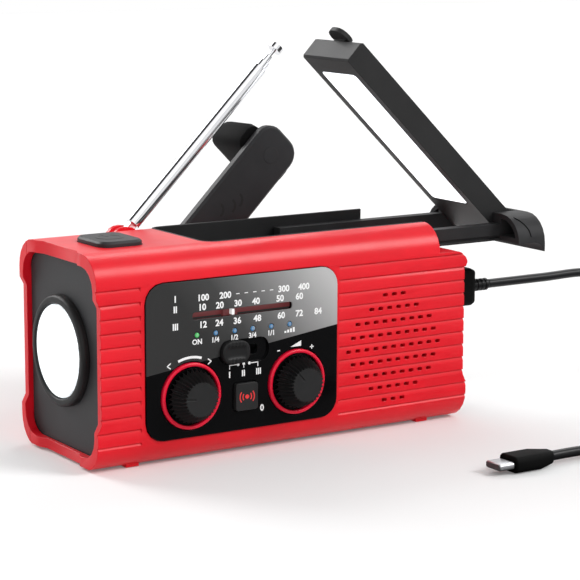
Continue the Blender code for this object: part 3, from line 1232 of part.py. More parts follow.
def make_crank_hub():
    """The crank's hub in the recess, its shaft and the two ears that hold the fold pin."""
    disc_y = RECESS_FLOOR_Y + GAP
    hub = prism("hub", circle_outline(CRANK_X, CRANK_Z, HUB_RADIUS, 32), "Y", disc_y, disc_y + HUB_HEIGHT)
    shaft = prism("shaft", circle_outline(CRANK_X, CRANK_Z, HUB_SHAFT_RADIUS, 20), "Y",
                  CRANK_GEAR_FRONT_Y, disc_y + OVERRUN)
    top_y = FOLD_PIN_Y
    steps = 8
    side = [(CRANK_X + EAR_RADIUS * math.cos(math.pi * step / steps), top_y + EAR_RADIUS * math.sin(math.pi * step / steps))
            for step in range(steps + 1)]
    side += [(CRANK_X - EAR_RADIUS, disc_y + HUB_HEIGHT / 2), (CRANK_X + EAR_RADIUS, disc_y + HUB_HEIGHT / 2)]
    inner = NECK_WIDTH / 2 + GAP
    ears = [prism("ear", side, "Z", CRANK_Z + low, CRANK_Z + low + EAR_WIDTH) for low in (inner, -inner - EAR_WIDTH)]
    join(hub, shaft, *ears)
    hole = circle_outline(CRANK_X, FOLD_PIN_Y, FOLD_PIN_RADIUS + GAP, 12)
    reach = inner + EAR_WIDTH + OVERRUN
    cut(hub, prism("pin_hole", hole, "Z", CRANK_Z - reach, CRANK_Z + reach))
    return finish(hub, "crank_hub", BLACK, 0.45)


def make_fold_pin():
    """The pin through the hub's ears and the arm's neck."""
    reach = NECK_WIDTH / 2 + GAP + EAR_WIDTH
    pin = prism("pin", circle_outline(CRANK_X, FOLD_PIN_Y, FOLD_PIN_RADIUS, 12), "Z", CRANK_Z - reach, CRANK_Z + reach)
    return finish(pin, "crank_fold_pin", STEEL, 0.3, 1.0)


def make_crank_arm():
    """The crank's arm: a flat blade with rounded ends, cranked down to a neck on the fold pin."""
    start_x = CRANK_X + ARM_START
    end_x = CRANK_X + CRANK_RADIUS + ARM_WIDTH / 2
    blade_outline = rounded_outline(start_x, end_x, CRANK_Z - ARM_WIDTH / 2, CRANK_Z + ARM_WIDTH / 2, ARM_WIDTH / 3, 6)
    slim = rounded_outline(start_x + ARM_EDGE, end_x - ARM_EDGE, CRANK_Z - ARM_WIDTH / 2 + ARM_EDGE,
                           CRANK_Z + ARM_WIDTH / 2 - ARM_EDGE, ARM_WIDTH / 3 - ARM_EDGE, 6)
    arm = loft("blade", [(slim, ARM_FRONT_Y), (blade_outline, ARM_FRONT_Y + ARM_EDGE),
                         (blade_outline, ARM_BACK_Y - ARM_EDGE), (slim, ARM_BACK_Y)], "Y")
    steps = 6
    around = [(CRANK_X + NECK_RADIUS * math.cos(math.pi / 2 + math.pi * step / steps),
               FOLD_PIN_Y + NECK_RADIUS * math.sin(math.pi / 2 + math.pi * step / steps)) for step in range(steps + 1)]
    rise_x = start_x + ARM_WIDTH / 4
    neck_side = around + [(start_x, FOLD_PIN_Y - NECK_RADIUS), (rise_x, ARM_FRONT_Y + ARM_EDGE),
                          (rise_x, ARM_BACK_Y - ARM_EDGE), (start_x + ARM_EDGE, ARM_BACK_Y - ARM_EDGE),
                          (start_x - ARM_EDGE, FOLD_PIN_Y + NECK_RADIUS)]
    join(arm, prism("neck", neck_side, "Z", CRANK_Z - NECK_WIDTH / 2, CRANK_Z + NECK_WIDTH / 2))
    reach = NECK_WIDTH / 2 + OVERRUN
    knob_x = CRANK_X + CRANK_RADIUS
    cut(arm, prism("pin_hole", circle_outline(CRANK_X, FOLD_PIN_Y, FOLD_PIN_RADIUS + GAP, 12), "Z",
                   CRANK_Z - reach, CRANK_Z + reach),
        prism("axle_hole", circle_outline(knob_x, CRANK_Z, HANDLE_AXLE_RADIUS + GAP, 16), "Y",
              ARM_FRONT_Y - OVERRUN, ARM_BACK_Y + OVERRUN))
    return finish(arm, "crank_arm", DARK_GREY, 0.45)


def make_crank_handle():
    """The handle at the arm's end, a long rounded block on an axle, and the axle."""
    knob_x = CRANK_X + CRANK_RADIUS
    base_y = ARM_BACK_Y + GAP
    sections = []
    for along_share, size_share in zip(HANDLE_ALONG_SHARES, HANDLE_SIZE_SHARES):
        outline = centred_outline(knob_x, CRANK_Z, HANDLE_DEPTH * size_share, HANDLE_WIDTH * size_share,
                                  HANDLE_DEPTH * size_share / 3, 3)
        sections.append((outline, base_y + HANDLE_LENGTH * along_share))
    handle = loft("handle", sections, "Y")
    cup_y = base_y + HANDLE_LENGTH - HANDLE_AXLE_CUP
    cut(handle, prism("bore", circle_outline(knob_x, CRANK_Z, HANDLE_AXLE_RADIUS + GAP, 16), "Y",
                      base_y - OVERRUN, HANDLE_END_Y + OVERRUN),
        prism("cup", circle_outline(knob_x, CRANK_Z, HANDLE_AXLE_HEAD + GAP, 16), "Y", cup_y, HANDLE_END_Y + OVERRUN))
    finish(handle, "crank_handle", BLACK, 0.45)
    head_y = cup_y + GAP
    axle = turned("axle", [(0, ARM_FRONT_Y + GAP), (0, HANDLE_END_Y - GAP), (HANDLE_AXLE_HEAD, HANDLE_END_Y - GAP),
                           (HANDLE_AXLE_HEAD, head_y), (HANDLE_AXLE_RADIUS, head_y), (HANDLE_AXLE_RADIUS, ARM_FRONT_Y + GAP)],
                  "Y", (knob_x, CRANK_Z), 16)
    finish(axle, "crank_handle_axle", BLACK, 0.45)
    return handle, axle


def antenna_tube(index):
    """One antenna section, laid along X from the pivot. The first has the eye and the last is a rod with a cap."""
    start = ANTENNA_START + index * ANTENNA_NEST
    end = ANTENNA_START + ANTENNA_LENGTH + index * ANTENNA_STEP
    radius = ANTENNA_RADII[index]
    centre = (ANTENNA_Y, ANTENNA_Z)
    if index == len(ANTENNA_RADII) - 1:
        profile = [(0, start), (radius, start), (radius, end), (ANTENNA_CAP_RADIUS, end),
                   (ANTENNA_CAP_RADIUS, end + ANTENNA_CAP_LENGTH), (0, end + ANTENNA_CAP_LENGTH)]
    else:
        bore = radius - ANTENNA_WALL
        profile = [(bore, start), (radius, start), (radius, end), (bore, end)]
    if index == 0:
        profile = [(0, start), (radius, start), (radius, end), (bore, end), (bore, start + ANTENNA_NEST - GAP),
                   (0, start + ANTENNA_NEST - GAP)]
    profile = [(radius, ANTENNA_X + along) for radius, along in profile]
    return turned("section", profile, "X", centre, 12)


def make_antenna():
    """The antenna's four telescoping sections and its pivot pin, laid flat along the channel."""
    sections = [antenna_tube(index) for index in range(len(ANTENNA_RADII))]
    eye = prism("eye", circle_outline(ANTENNA_X, ANTENNA_Z, EYE_RADIUS, 16), "Y",
                ANTENNA_Y - EYE_WIDTH / 2, ANTENNA_Y + EYE_WIDTH / 2)
    neck = block("neck", (ANTENNA_X, ANTENNA_Y - EYE_WIDTH / 2, ANTENNA_Z - EYE_RADIUS / 2),
                 (ANTENNA_X + ANTENNA_START + OVERRUN, ANTENNA_Y + EYE_WIDTH / 2, ANTENNA_Z + EYE_RADIUS / 2))
    join(sections[0], eye, neck)
    cut(sections[0], prism("hole", circle_outline(ANTENNA_X, ANTENNA_Z, PIVOT_PIN_RADIUS + GAP, 12), "Y",
                           ANTENNA_Y - EYE_WIDTH, ANTENNA_Y + EYE_WIDTH))
    for index, section in enumerate(sections):
        finish(section, f"antenna_section_{index + 1}", STEEL, 0.12, 1.0)
    pin = prism("pin", circle_outline(ANTENNA_X, ANTENNA_Z, PIVOT_PIN_RADIUS, 12), "Y",
                SHELL_PARTING_Y + GAP, BACK_Y - 2 * GAP)
    finish(pin, "antenna_pivot_pin", STEEL, 0.3, 1.0)
    return sections


def rail_outline(outward):
    """A rail's cross-section: a bar with a groove on its outer side for the bay's lip."""
    inner = LAMP_CENTRE_Y + outward * (LAMP_WIDTH / 2 + GAP)
    outer = inner + outward * RAIL_WIDTH
    groove = outer - outward * RAIL_GROOVE_DEPTH
    groove_z = RAIL_LOW_Z + RAIL_GROOVE_LOW
    groove_top = groove_z + RAIL_GROOVE_HEIGHT
    return [(inner, RAIL_LOW_Z), (outer, RAIL_LOW_Z), (outer, groove_z), (groove, groove_z), (groove, groove_top),
            (outer, groove_top), (outer, RAIL_TOP_Z), (inner, RAIL_TOP_Z)]


def cap_grip():
    """The curved grip line pressed into the end cap's round front: an arc of even depth below the surface."""
    steps = 6
    centre_x, centre_z = CAP_START_X + CAP_GRIP_X - CAP_GRIP_RADIUS, LEDGE_Z + CAP_GRIP_Z
    inner, outer = [[(centre_x + radius * math.cos(math.pi / 3 * step / steps),
                      centre_z + radius * math.sin(math.pi / 3 * step / steps)) for step in range(steps + 1)]
                    for radius in (CAP_GRIP_RADIUS - CAP_GRIP_WIDTH, CAP_GRIP_RADIUS)]
    line = prism("grip", outer + inner[::-1], "Y", FRONT_Y - OVERRUN, FRONT_Y + EDGE_RADIUS)
    cut(line, prism("core", body_outline(CAP_GRIP_DEPTH), "X", LEFT_X, RIGHT_X + OVERRUN))
    return line


def make_carriage():
    """The lamp carriage, modelled pushed in: two rails and the end cap that closes the case's top corner."""
    side = ([(CAP_START_X, LEDGE_Z + GAP)] + ledge_arc(GAP, CAP_END_X)
            + [(CAP_END_X, BODY_HEIGHT + OVERRUN), (CAP_START_X, BODY_HEIGHT + OVERRUN)])
    cap = prism("cap", side, "Y", FRONT_Y - OVERRUN, BACK_Y + OVERRUN)
    keep(cap, prism("outer", body_outline(0), "X", CAP_START_X - OVERRUN, CAP_END_X + OVERRUN))
    notch_half = LAMP_WIDTH / 2 + GAP
    hollow = prism("hollow", body_outline(CAP_SHELL), "X", CAP_START_X - OVERRUN, CAP_END_X - CAP_SHELL)
    outer_half = notch_half + RAIL_WIDTH
    cut(hollow, block("middle", (CAP_START_X - 2 * OVERRUN, LAMP_CENTRE_Y - outer_half, 0),
                      (CAP_END_X, LAMP_CENTRE_Y + outer_half, BODY_HEIGHT)),
        block("lower", (CAP_START_X - 2 * OVERRUN, FRONT_Y - OVERRUN, -OVERRUN),
              (CAP_END_X, BACK_Y + OVERRUN, RAIL_LOW_Z + CAP_SHELL)))
    cut(cap, hollow)
    start_x = CAP_START_X - RAIL_LENGTH
    rails = [prism("rail", rail_outline(outward), "X", start_x, CAP_START_X + CAP_SHELL) for outward in (-1, 1)]
    join(cap, *rails)
    cut(cap, block("notch", (CAP_START_X - OVERRUN, LAMP_CENTRE_Y - notch_half, LEDGE_Z - LEDGE_RADIUS),
                   (CAP_END_X - CAP_BACK_WALL, LAMP_CENTRE_Y + notch_half, BODY_HEIGHT + OVERRUN)))
    cut(cap, cap_grip())
    reach = notch_half + HINGE_PIN_REACH
    cut(cap, prism("pin_hole", circle_outline(LAMP_HINGE_X, LAMP_HINGE_Z, HINGE_PIN_RADIUS + GAP, 12), "Y",
                   LAMP_CENTRE_Y - reach, LAMP_CENTRE_Y + reach))
    return finish(cap, "lamp_carriage", BLACK, 0.5)


def make_hinge_pin():
    """The pin that the lamp turns on."""
    reach = LAMP_WIDTH / 2 + GAP + HINGE_PIN_REACH - GAP
    pin = prism("pin", circle_outline(LAMP_HINGE_X, LAMP_HINGE_Z, HINGE_PIN_RADIUS, 12), "Y",
                LAMP_CENTRE_Y - reach, LAMP_CENTRE_Y + reach)
    return finish(pin, "lamp_hinge_pin", STEEL, 0.3, 1.0)


def lamp_side():
    """The lamp's side outline, folded down: round about the hinge and square at its free end."""
    half = LAMP_THICKNESS / 2
    end_x = LAMP_HINGE_X - LAMP_LENGTH
    steps = 8
    nose = [(LAMP_HINGE_X + half * math.sin(math.pi * step / steps), LAMP_HINGE_Z + half * math.cos(math.pi * step / steps))
            for step in range(steps + 1)]
    return nose + [(end_x + LAMP_EDGE, LAMP_HINGE_Z - half), (end_x, LAMP_HINGE_Z - half + LAMP_EDGE),
                   (end_x, LAMP_HINGE_Z + half - LAMP_EDGE), (end_x + LAMP_EDGE, LAMP_HINGE_Z + half)]


def make_lamp():
    """The folding lamp, modelled folded down: housing, light cover, light strip and solar cell."""
    front, back = LAMP_CENTRE_Y - LAMP_WIDTH / 2, LAMP_CENTRE_Y + LAMP_WIDTH / 2
    under_z, top_z = LAMP_HINGE_Z - LAMP_THICKNESS / 2, LAMP_HINGE_Z + LAMP_THICKNESS / 2
    end_x = LAMP_HINGE_X - LAMP_LENGTH
    housing = prism("housing", lamp_side(), "Y", front, back)
    tab = rounded_outline(end_x - TAB_REACH, end_x + TAB_ROOT, LAMP_CENTRE_Y - TAB_WIDTH / 2,
                          LAMP_CENTRE_Y + TAB_WIDTH / 2, TAB_REACH - GAP)
    tab_z = BODY_HEIGHT + GAP
    join(housing, prism("tab", tab, "Z", tab_z, tab_z + TAB_THICKNESS),
         block("tab_root", (end_x + GAP, LAMP_CENTRE_Y - TAB_WIDTH / 3, top_z - OVERRUN),
               (end_x + TAB_ROOT - GAP, LAMP_CENTRE_Y + TAB_WIDTH / 3, tab_z + TAB_THICKNESS / 2)))
    light_high = LAMP_HINGE_X - LIGHT_START
    light_low = light_high - LIGHT_LENGTH
    half = LIGHT_WIDTH / 2
    pocket = rounded_outline(light_low, light_high, LAMP_CENTRE_Y - half, LAMP_CENTRE_Y + half, LIGHT_CORNER, 2)
    solar_high = LAMP_HINGE_X - SOLAR_START
    solar_half = SOLAR_WIDTH / 2
    solar_pocket = rounded_outline(solar_high - SOLAR_LENGTH, solar_high, LAMP_CENTRE_Y - solar_half,
                                   LAMP_CENTRE_Y + solar_half, SOLAR_CORNER, 2)
    cut(housing, prism("pocket", pocket, "Z", under_z - OVERRUN, under_z + LIGHT_DEPTH),
        prism("solar_pocket", solar_pocket, "Z", top_z - SOLAR_DEPTH, top_z + OVERRUN),
        prism("pin_hole", circle_outline(LAMP_HINGE_X, LAMP_HINGE_Z, HINGE_PIN_RADIUS + GAP, 12), "Y",
              front - OVERRUN, back + OVERRUN))
    finish(housing, "lamp_housing", DARK_GREY, 0.45)
    inset = half - GAP
    fitted = rounded_outline(light_low + GAP, light_high - GAP, LAMP_CENTRE_Y - inset, LAMP_CENTRE_Y + inset,
                             LIGHT_CORNER - GAP, 2)
    cover = prism("cover", fitted, "Z", under_z, under_z + LIGHT_COVER)
    finish(cover, "lamp_cover", WHITE, 0.1)
    board_z = under_z + LIGHT_DEPTH - GAP
    strip = prism("strip", fitted, "Z", board_z - LIGHT_BOARD, board_z)
    pitch = LIGHT_LENGTH / LIGHT_LED_COUNT
    chip = LIGHT_LED_SIZE / 2
    middles = [light_low + pitch * (index + 0.5) for index in range(LIGHT_LED_COUNT)]
    chips = [box_outline(x - chip, x + chip, LAMP_CENTRE_Y - chip, LAMP_CENTRE_Y + chip) for x in middles]
    join(strip, prisms("chips", chips, "Z", board_z - LIGHT_BOARD - LIGHT_LED_HEIGHT, board_z - LIGHT_BOARD / 2))
    finish(strip, "lamp_led_strip", WHITE, 0.3)
    solar_inset = solar_half - GAP
    cell = rounded_outline(solar_high - SOLAR_LENGTH + GAP, solar_high - GAP, LAMP_CENTRE_Y - solar_inset,
                           LAMP_CENTRE_Y + solar_inset, SOLAR_CORNER - GAP, 2)
    cell_z = top_z - SOLAR_DEPTH + GAP
    cell = prism("cell", cell, "Z", cell_z, cell_z + SOLAR_THICKNESS)
    finish(cell, "solar_cell", CELL_BLUE, 0.1)
    return housing, cover, strip, cell


def make_sockets():
    """The upright USB socket with its tongue, and the charging inlet beside it."""
    mouth_x = END_PANEL_X + GAP
    back_x = mouth_x - USB_SOCKET_LENGTH
    socket = block("socket", (back_x, USB_Y - USB_SOCKET_WIDTH / 2, USB_Z - USB_SOCKET_HEIGHT / 2),
                   (mouth_x, USB_Y + USB_SOCKET_WIDTH / 2, USB_Z + USB_SOCKET_HEIGHT / 2))
    cut(socket, block("mouth", (back_x + OVERRUN, USB_Y - USB_MOUTH_WIDTH / 2, USB_Z - USB_MOUTH_HEIGHT / 2),
                      (mouth_x + OVERRUN, USB_Y + USB_MOUTH_WIDTH / 2, USB_Z + USB_MOUTH_HEIGHT / 2)))
    join(socket, block("tongue", (back_x + OVERRUN / 2, USB_Y - USB_TONGUE_WIDTH / 2, USB_Z - USB_TONGUE_HEIGHT / 2),
                       (mouth_x - OVERRUN, USB_Y + USB_TONGUE_WIDTH / 2, USB_Z + USB_TONGUE_HEIGHT / 2)))
    finish(socket, "usb_socket", STEEL, 0.3, 1.0)
    inlet_back = mouth_x - CHARGE_LENGTH
    inlet = prism("inlet", centred_outline(CHARGE_Y, USB_Z, CHARGE_WIDTH, CHARGE_HEIGHT, CHARGE_WIDTH / 3, 3), "X",
                  inlet_back, mouth_x)
    mouth = centred_outline(CHARGE_Y, USB_Z, CHARGE_WIDTH - 2 * CHARGE_WALL, CHARGE_HEIGHT - 2 * CHARGE_WALL,
                            CHARGE_WIDTH / 3 - CHARGE_WALL, 3)
    cut(inlet, prism("mouth", mouth, "X", inlet_back + CHARGE_WALL, mouth_x + OVERRUN))
    finish(inlet, "charge_socket", STEEL, 0.3, 1.0)


def make_plug():
    """The lead's plug in the USB socket: metal shell, moulded grip and strain relief."""
    grip_x = RIGHT_X + GAP
    shell_end = grip_x - PLUG_SHELL_LENGTH
    half_w, half_h = PLUG_SHELL_WIDTH / 2, PLUG_SHELL_HEIGHT / 2
    wall = PLUG_SHELL_WALL
    shell = block("shell", (shell_end, USB_Y - half_w, USB_Z - half_h), (grip_x - GAP, USB_Y + half_w, USB_Z + half_h))
    cut(shell, block("hollow", (shell_end - OVERRUN, USB_Y - half_w + wall, USB_Z - half_h + wall),
                     (RIGHT_X - END_WALL, USB_Y + half_w - wall, USB_Z + half_h - wall)))
    finish(shell, "usb_plug_shell", STEEL, 0.25, 1.0)
    outline = centred_outline(USB_Y, USB_Z, PLUG_GRIP_WIDTH, PLUG_GRIP_HEIGHT, PLUG_GRIP_CORNER, 3)
    slim = centred_outline(USB_Y, USB_Z, PLUG_GRIP_WIDTH - PLUG_GRIP_CORNER, PLUG_GRIP_HEIGHT - PLUG_GRIP_CORNER,
                           PLUG_GRIP_CORNER / 2, 3)
    end_x = grip_x + PLUG_GRIP_LENGTH
    grip = loft("grip", [(outline, grip_x), (outline, end_x - PLUG_GRIP_CORNER), (slim, end_x)], "X")
    finish(grip, "usb_plug_grip", BLACK, 0.5)
    relief_x = end_x + GAP
    profile = [(0, relief_x), (RELIEF_RADIUS, relief_x)]
    pitch = RELIEF_LENGTH / RELIEF_RINGS
    groove_start, groove_end = [pitch * share for share in RELIEF_GROOVE_SHARES]
    for index in range(RELIEF_RINGS):
        start = relief_x + pitch * index
        profile += [(RELIEF_RADIUS, start + pitch * RELIEF_RING_SHARE), (CORD_RADIUS + GAP, start + groove_start),
                    (CORD_RADIUS + GAP, start + groove_end)]
        if index + 1 < RELIEF_RINGS:
            profile.append((RELIEF_RADIUS, start + pitch))
    relief_end = relief_x + pitch * (RELIEF_RINGS - 1) + groove_end
    profile += [(0, relief_end)]
    finish(turned("relief", profile, "X", (USB_Y, USB_Z), 12), "usb_strain_relief", BLACK, 0.5)
    return relief_end


def cord_route(start_x):
    """The lead's route: straight out of the plug, down to the table, round and back to its far plug."""
    low = CORD_RADIUS + GAP
    end_x = DEVICE_X + DEVICE_GRIP_LENGTH + GAP
    plug_z = DEVICE_GRIP_HEIGHT / 2
    return [(start_x + GAP, USB_Y, USB_Z), (start_x + 0.012, USB_Y, USB_Z), (start_x + 0.030, USB_Y, USB_Z),
            (start_x + 0.052, USB_Y, USB_Z), (start_x + 0.072, USB_Y - 0.001, USB_Z - 0.0035),
            (start_x + 0.090, USB_Y - 0.004, USB_Z - 0.0125), (start_x + 0.105, USB_Y - 0.011, low + 0.017),
            (start_x + 0.116, USB_Y - 0.022, low + 0.0055), (start_x + 0.121, USB_Y - 0.037, low),
            (start_x + 0.117, USB_Y - 0.054, low), (start_x + 0.106, USB_Y - 0.070, low),
            (start_x + 0.089, USB_Y - 0.083, low), (start_x + 0.066, USB_Y - 0.091, low),
            (start_x + 0.040, DEVICE_Y, low), (end_x + 0.040, DEVICE_Y, low),
            (end_x + 0.014, DEVICE_Y, plug_z), (end_x, DEVICE_Y, plug_z)]


def smooth_points(route, spacing):
    """Points at an even spacing on the smooth curve through the route."""
    dense = []
    padded = [route[0]] + list(route) + [route[-1]]
    for index in range(1, len(padded) - 2):
        before, here, there, after = [Vector(padded[index + shift]) for shift in (-1, 0, 1, 2)]
        for step in range(24):
            t = step / 24
            place = 0.5 * (2 * here + (there - before) * t + (2 * before - 5 * here + 4 * there - after) * t * t
                           + (3 * here - before - 3 * there + after) * t * t * t)
            place.z = max(place.z, CORD_RADIUS + GAP)
            dense.append(place)
    dense.append(Vector(route[-1]))
    total = sum((second - first).length for first, second in zip(dense, dense[1:]))
    count = round(total / spacing)
    points, travelled, target = [dense[0]], 0.0, total / count
    for first, second in zip(dense, dense[1:]):
        length = (second - first).length
        while len(points) < count and travelled + length >= target * len(points):
            points.append(first.lerp(second, (target * len(points) - travelled) / length))
        travelled += length
    points.append(dense[-1])
    return points


def make_cord(start_x):
    """The lead's cord, a round tube along its route."""
    points = smooth_points(cord_route(start_x), CORD_SPACING)
    curve = bpy.data.curves.new("charge_cord", "CURVE")
    curve.dimensions = "3D"
    curve.bevel_depth = CORD_RADIUS
    curve.bevel_resolution = 2
    curve.use_fill_caps = True
    spline = curve.splines.new("POLY")
    spline.points.add(len(points) - 1)
    for target, place in zip(spline.points, points):
        target.co = (*place, 1.0)
    cord = bpy.data.objects.new("charge_cord", curve)
    bpy.context.scene.collection.objects.link(cord)
    material = bpy.data.materials.new("charge_cord")
    material.use_nodes = True
    material.node_tree.nodes["Principled BSDF"].inputs["Base Color"].default_value = BLACK
    material.node_tree.nodes["Principled BSDF"].inputs["Roughness"].default_value = 0.5
    curve.materials.append(material)
    return cord


def make_device_plug():
    """The lead's far plug, lying flat on the table: a flattened grip with a metal tip."""
    centre_z = DEVICE_GRIP_HEIGHT / 2
    grip_end = DEVICE_X + DEVICE_GRIP_LENGTH
    outline = centred_outline(DEVICE_Y, centre_z, DEVICE_GRIP_WIDTH, DEVICE_GRIP_HEIGHT, DEVICE_GRIP_HEIGHT / 3, 3)
    slim = centred_outline(DEVICE_Y, centre_z, 2 * RELIEF_RADIUS, DEVICE_GRIP_HEIGHT * DEVICE_NECK_HEIGHT_SHARE, DEVICE_GRIP_HEIGHT / 4, 3)
    grip = loft("grip", [(outline, DEVICE_X), (outline, DEVICE_X + DEVICE_GRIP_LENGTH * DEVICE_NECK_SHARE), (slim, grip_end)], "X")
    finish(grip, "device_plug_grip", BLACK, 0.5)
    tip = prism("tip", centred_outline(DEVICE_Y, centre_z, DEVICE_SHELL_WIDTH, DEVICE_SHELL_HEIGHT,
                                       DEVICE_SHELL_HEIGHT / 3, 3), "X",
                DEVICE_X - GAP - DEVICE_SHELL_LENGTH, DEVICE_X - GAP)
    finish(tip, "device_plug_tip", STEEL, 0.25, 1.0)


def build_case():
    """Everything that stays with the case."""
    tube = case_tube()
    make_front_shell(tube)
    make_rear_shell(tube)
    tube_mesh = tube.data
    bpy.data.objects.remove(tube)
    bpy.data.meshes.remove(tube_mesh)
    make_lamp_bay()
    make_end_panels()
    make_flashlight()
    make_dial_plate()
    make_ring("tuning_ring", TUNING_X)
    make_ring("volume_ring", VOLUME_X)
    make_main_board()
    make_controls()
    make_indicators()
    make_speaker()
    make_battery()
    make_generator()
    make_sockets()
    cord_start = make_plug()
    make_cord(cord_start)
    make_device_plug()


def build_controls():
    """Knobs, slider and buttons, each on its own axis."""
    for name, x in (("tuning", TUNING_X), ("volume", VOLUME_X)):
        axis = pivot(f"{name}_axis", (x, PLATE_FRONT_Y, KNOB_Z))
        carry(make_knob(f"{name}_knob", x), axis)
        carry(make_shaft(f"{name}_shaft", x), axis)
    carry(make_pointer(), pivot("pointer_slide", (POINTER_X, PLATE_FRONT_Y, WINDOW_Z)))
    carry(make_band_switch(), pivot("band_slide", (BAND_CENTRE_X, PLATE_FRONT_Y, BAND_Z)))
    carry(make_sos(), pivot("sos_press", (SOS_X, PLATE_FRONT_Y, SOS_Z)))
    left = LEFT_X + POWER_LEFT + POWER_LENGTH / 2
    carry(make_power_button(), pivot("power_press", (left, FRONT_Y + POWER_FRONT + POWER_WIDTH / 2, BODY_HEIGHT)))


def build_crank():
    """The crank on its hub axis, turned to the photographed angle, and the gears that it drives."""
    hub, idler, generator = gear_places()
    crank_gear, idler_gear, pinion = make_gears()
    carry(idler_gear, pivot("idler_axis", (idler[0], IDLER_GEAR_BACK_Y, idler[1])))
    carry(pinion, pivot("generator_axis", (generator[0], IDLER_GEAR_BACK_Y, generator[1])))
    axis = pivot("crank_axis", (CRANK_X, BACK_Y, CRANK_Z))
    carry(crank_gear, axis)
    turning = pivot("crank_turn", (CRANK_X, BACK_Y, CRANK_Z), axis)
    carry(make_crank_hub(), turning)
    fold = pivot("crank_fold", (CRANK_X, FOLD_PIN_Y, CRANK_Z), turning)
    carry(make_fold_pin(), fold)
    carry(make_crank_arm(), fold)
    spin = pivot("handle_axis", (CRANK_X + CRANK_RADIUS, ARM_BACK_Y, CRANK_Z), fold)
    for piece in make_crank_handle():
        carry(piece, spin)
    turning.rotation_euler = (0, -CRANK_ANGLE, 0)


def build_antenna():
    """The antenna on its pivot, raised to the photographed angle."""
    axis = pivot("antenna_axis", (ANTENNA_X, ANTENNA_Y, ANTENNA_Z))
    parent = axis
    for index, section in enumerate(make_antenna()):
        if index:
            parent = pivot(f"antenna_slide_{index + 1}", (ANTENNA_X, ANTENNA_Y, ANTENNA_Z), parent)
        carry(section, parent)
    axis.rotation_euler = (0, -ANTENNA_ANGLE, 0)


def build_lamp():
    """The lamp carriage pulled out and the lamp raised, as photographed."""
    slide = pivot("carriage_slide", (CAP_START_X, LAMP_CENTRE_Y, RAIL_LOW_Z))
    carry(make_carriage(), slide)
    hinge = pivot("lamp_hinge", (LAMP_HINGE_X, LAMP_CENTRE_Y, LAMP_HINGE_Z), slide)
    carry(make_hinge_pin(), slide)
    for piece in make_lamp():
        carry(piece, hinge)
    slide.location.x += SLIDE_TRAVEL
    hinge.rotation_euler = (0, LAMP_OPEN_ANGLE, 0)


def main():
    """Clears the scene and builds the whole radio."""
    for leftover in list(bpy.data.objects):
        bpy.data.objects.remove(leftover)
    build_case()
    build_controls()
    build_crank()
    build_antenna()
    build_lamp()
    bpy.context.view_layer.update()


main()
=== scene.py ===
"""The looks of a hand-cranked weather radio: finishes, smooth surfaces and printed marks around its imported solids."""

import functools
import json
import math

import bmesh
import bpy
import numpy as np
from bpy.props import FloatProperty, FloatVectorProperty, IntProperty, PointerProperty
from mathutils import Matrix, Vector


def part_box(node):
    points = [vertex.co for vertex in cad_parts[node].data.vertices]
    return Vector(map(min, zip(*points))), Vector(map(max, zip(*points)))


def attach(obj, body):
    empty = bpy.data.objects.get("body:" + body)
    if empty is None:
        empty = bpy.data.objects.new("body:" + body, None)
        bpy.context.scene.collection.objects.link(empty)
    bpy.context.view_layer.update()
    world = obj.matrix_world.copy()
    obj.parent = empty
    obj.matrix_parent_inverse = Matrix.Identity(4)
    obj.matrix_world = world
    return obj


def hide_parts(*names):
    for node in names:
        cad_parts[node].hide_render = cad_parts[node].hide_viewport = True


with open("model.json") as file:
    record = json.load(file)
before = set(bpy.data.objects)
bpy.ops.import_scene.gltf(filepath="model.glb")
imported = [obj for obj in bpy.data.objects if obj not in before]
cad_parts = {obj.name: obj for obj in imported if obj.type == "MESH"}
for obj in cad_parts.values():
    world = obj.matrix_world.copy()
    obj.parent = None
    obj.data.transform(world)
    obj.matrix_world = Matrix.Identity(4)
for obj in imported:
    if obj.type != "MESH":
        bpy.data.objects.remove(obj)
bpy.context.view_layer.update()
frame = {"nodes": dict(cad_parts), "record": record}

bl_info = {
    "name": "Weather radio",
    "version": (1, 0, 0),
    "blender": (4, 5, 0),
    "location": "3D View > Sidebar > Radio",
    "description": "Builds the finishes, printed marks and fine surfaces of a hand-cranked weather radio",
    "category": "Object",
}

BODY_OF = {node: body for body, nodes in frame["record"]["behaviour"]["bodies"].items() for node in nodes}
UP, RIGHT, LEFT = (0.0, 0.0, 1.0), (1.0, 0.0, 0.0), (-1.0, 0.0, 0.0)
FORWARD, BACKWARD = (0.0, -1.0, 0.0), (0.0, 1.0, 0.0)

# Lengths and places are in metres, angles in degrees

GAP = 0.0003
CORD_RADIUS = 0.0018
CORD_Y, PLUG_Z, FAR_Y = -0.006, 0.0470, -0.100
PLATE_FACE_Y = -0.0305
PRINT_LIFT = 0.00006
PRINT_Y = PLATE_FACE_Y - PRINT_LIFT
BOLD = 0.00010
LIGHTS_X = (-0.0405, -0.0328, -0.0249, -0.0174, -0.0095, -0.0016)
LIGHT_Z, LIGHT_RADIUS = 0.0461, 0.00088
LABEL_Z = 0.0437
SLED_FRONT_Y = -0.0286
STRIP_LEFT, STRIP_RIGHT, STRIP_BACK_Y = -0.0515, 0.0090, -0.0264
STRIP_Z = 0.0526
SLIDER_LENGTH = 0.0114
SLIDER_CORNER = 0.0036
SLIDER_BACK_Y = -0.0297
SLIDER_STOPS_X = (-0.0235, -0.02115, -0.0188)
KNOB_Z = 0.0244
TUNING_X, TUNING_NOTCH = -0.0430, -85.0
VOLUME_X, VOLUME_NOTCH = 0.0015, -40.0
RING_BACK_Y = -0.0299
ALARM_X, ALARM_Z = -0.02055, 0.0217
LAMP_FACE_Y, LAMP_FACE_Z = 0.0015, 0.0390
LENS_RADIUS = 0.0170
SCREWS_X, SCREWS_Z, SCREW_Y = (-0.0690, 0.0690), (0.0120, 0.0580), 0.0286
SCREW_RADIUS = 0.0027
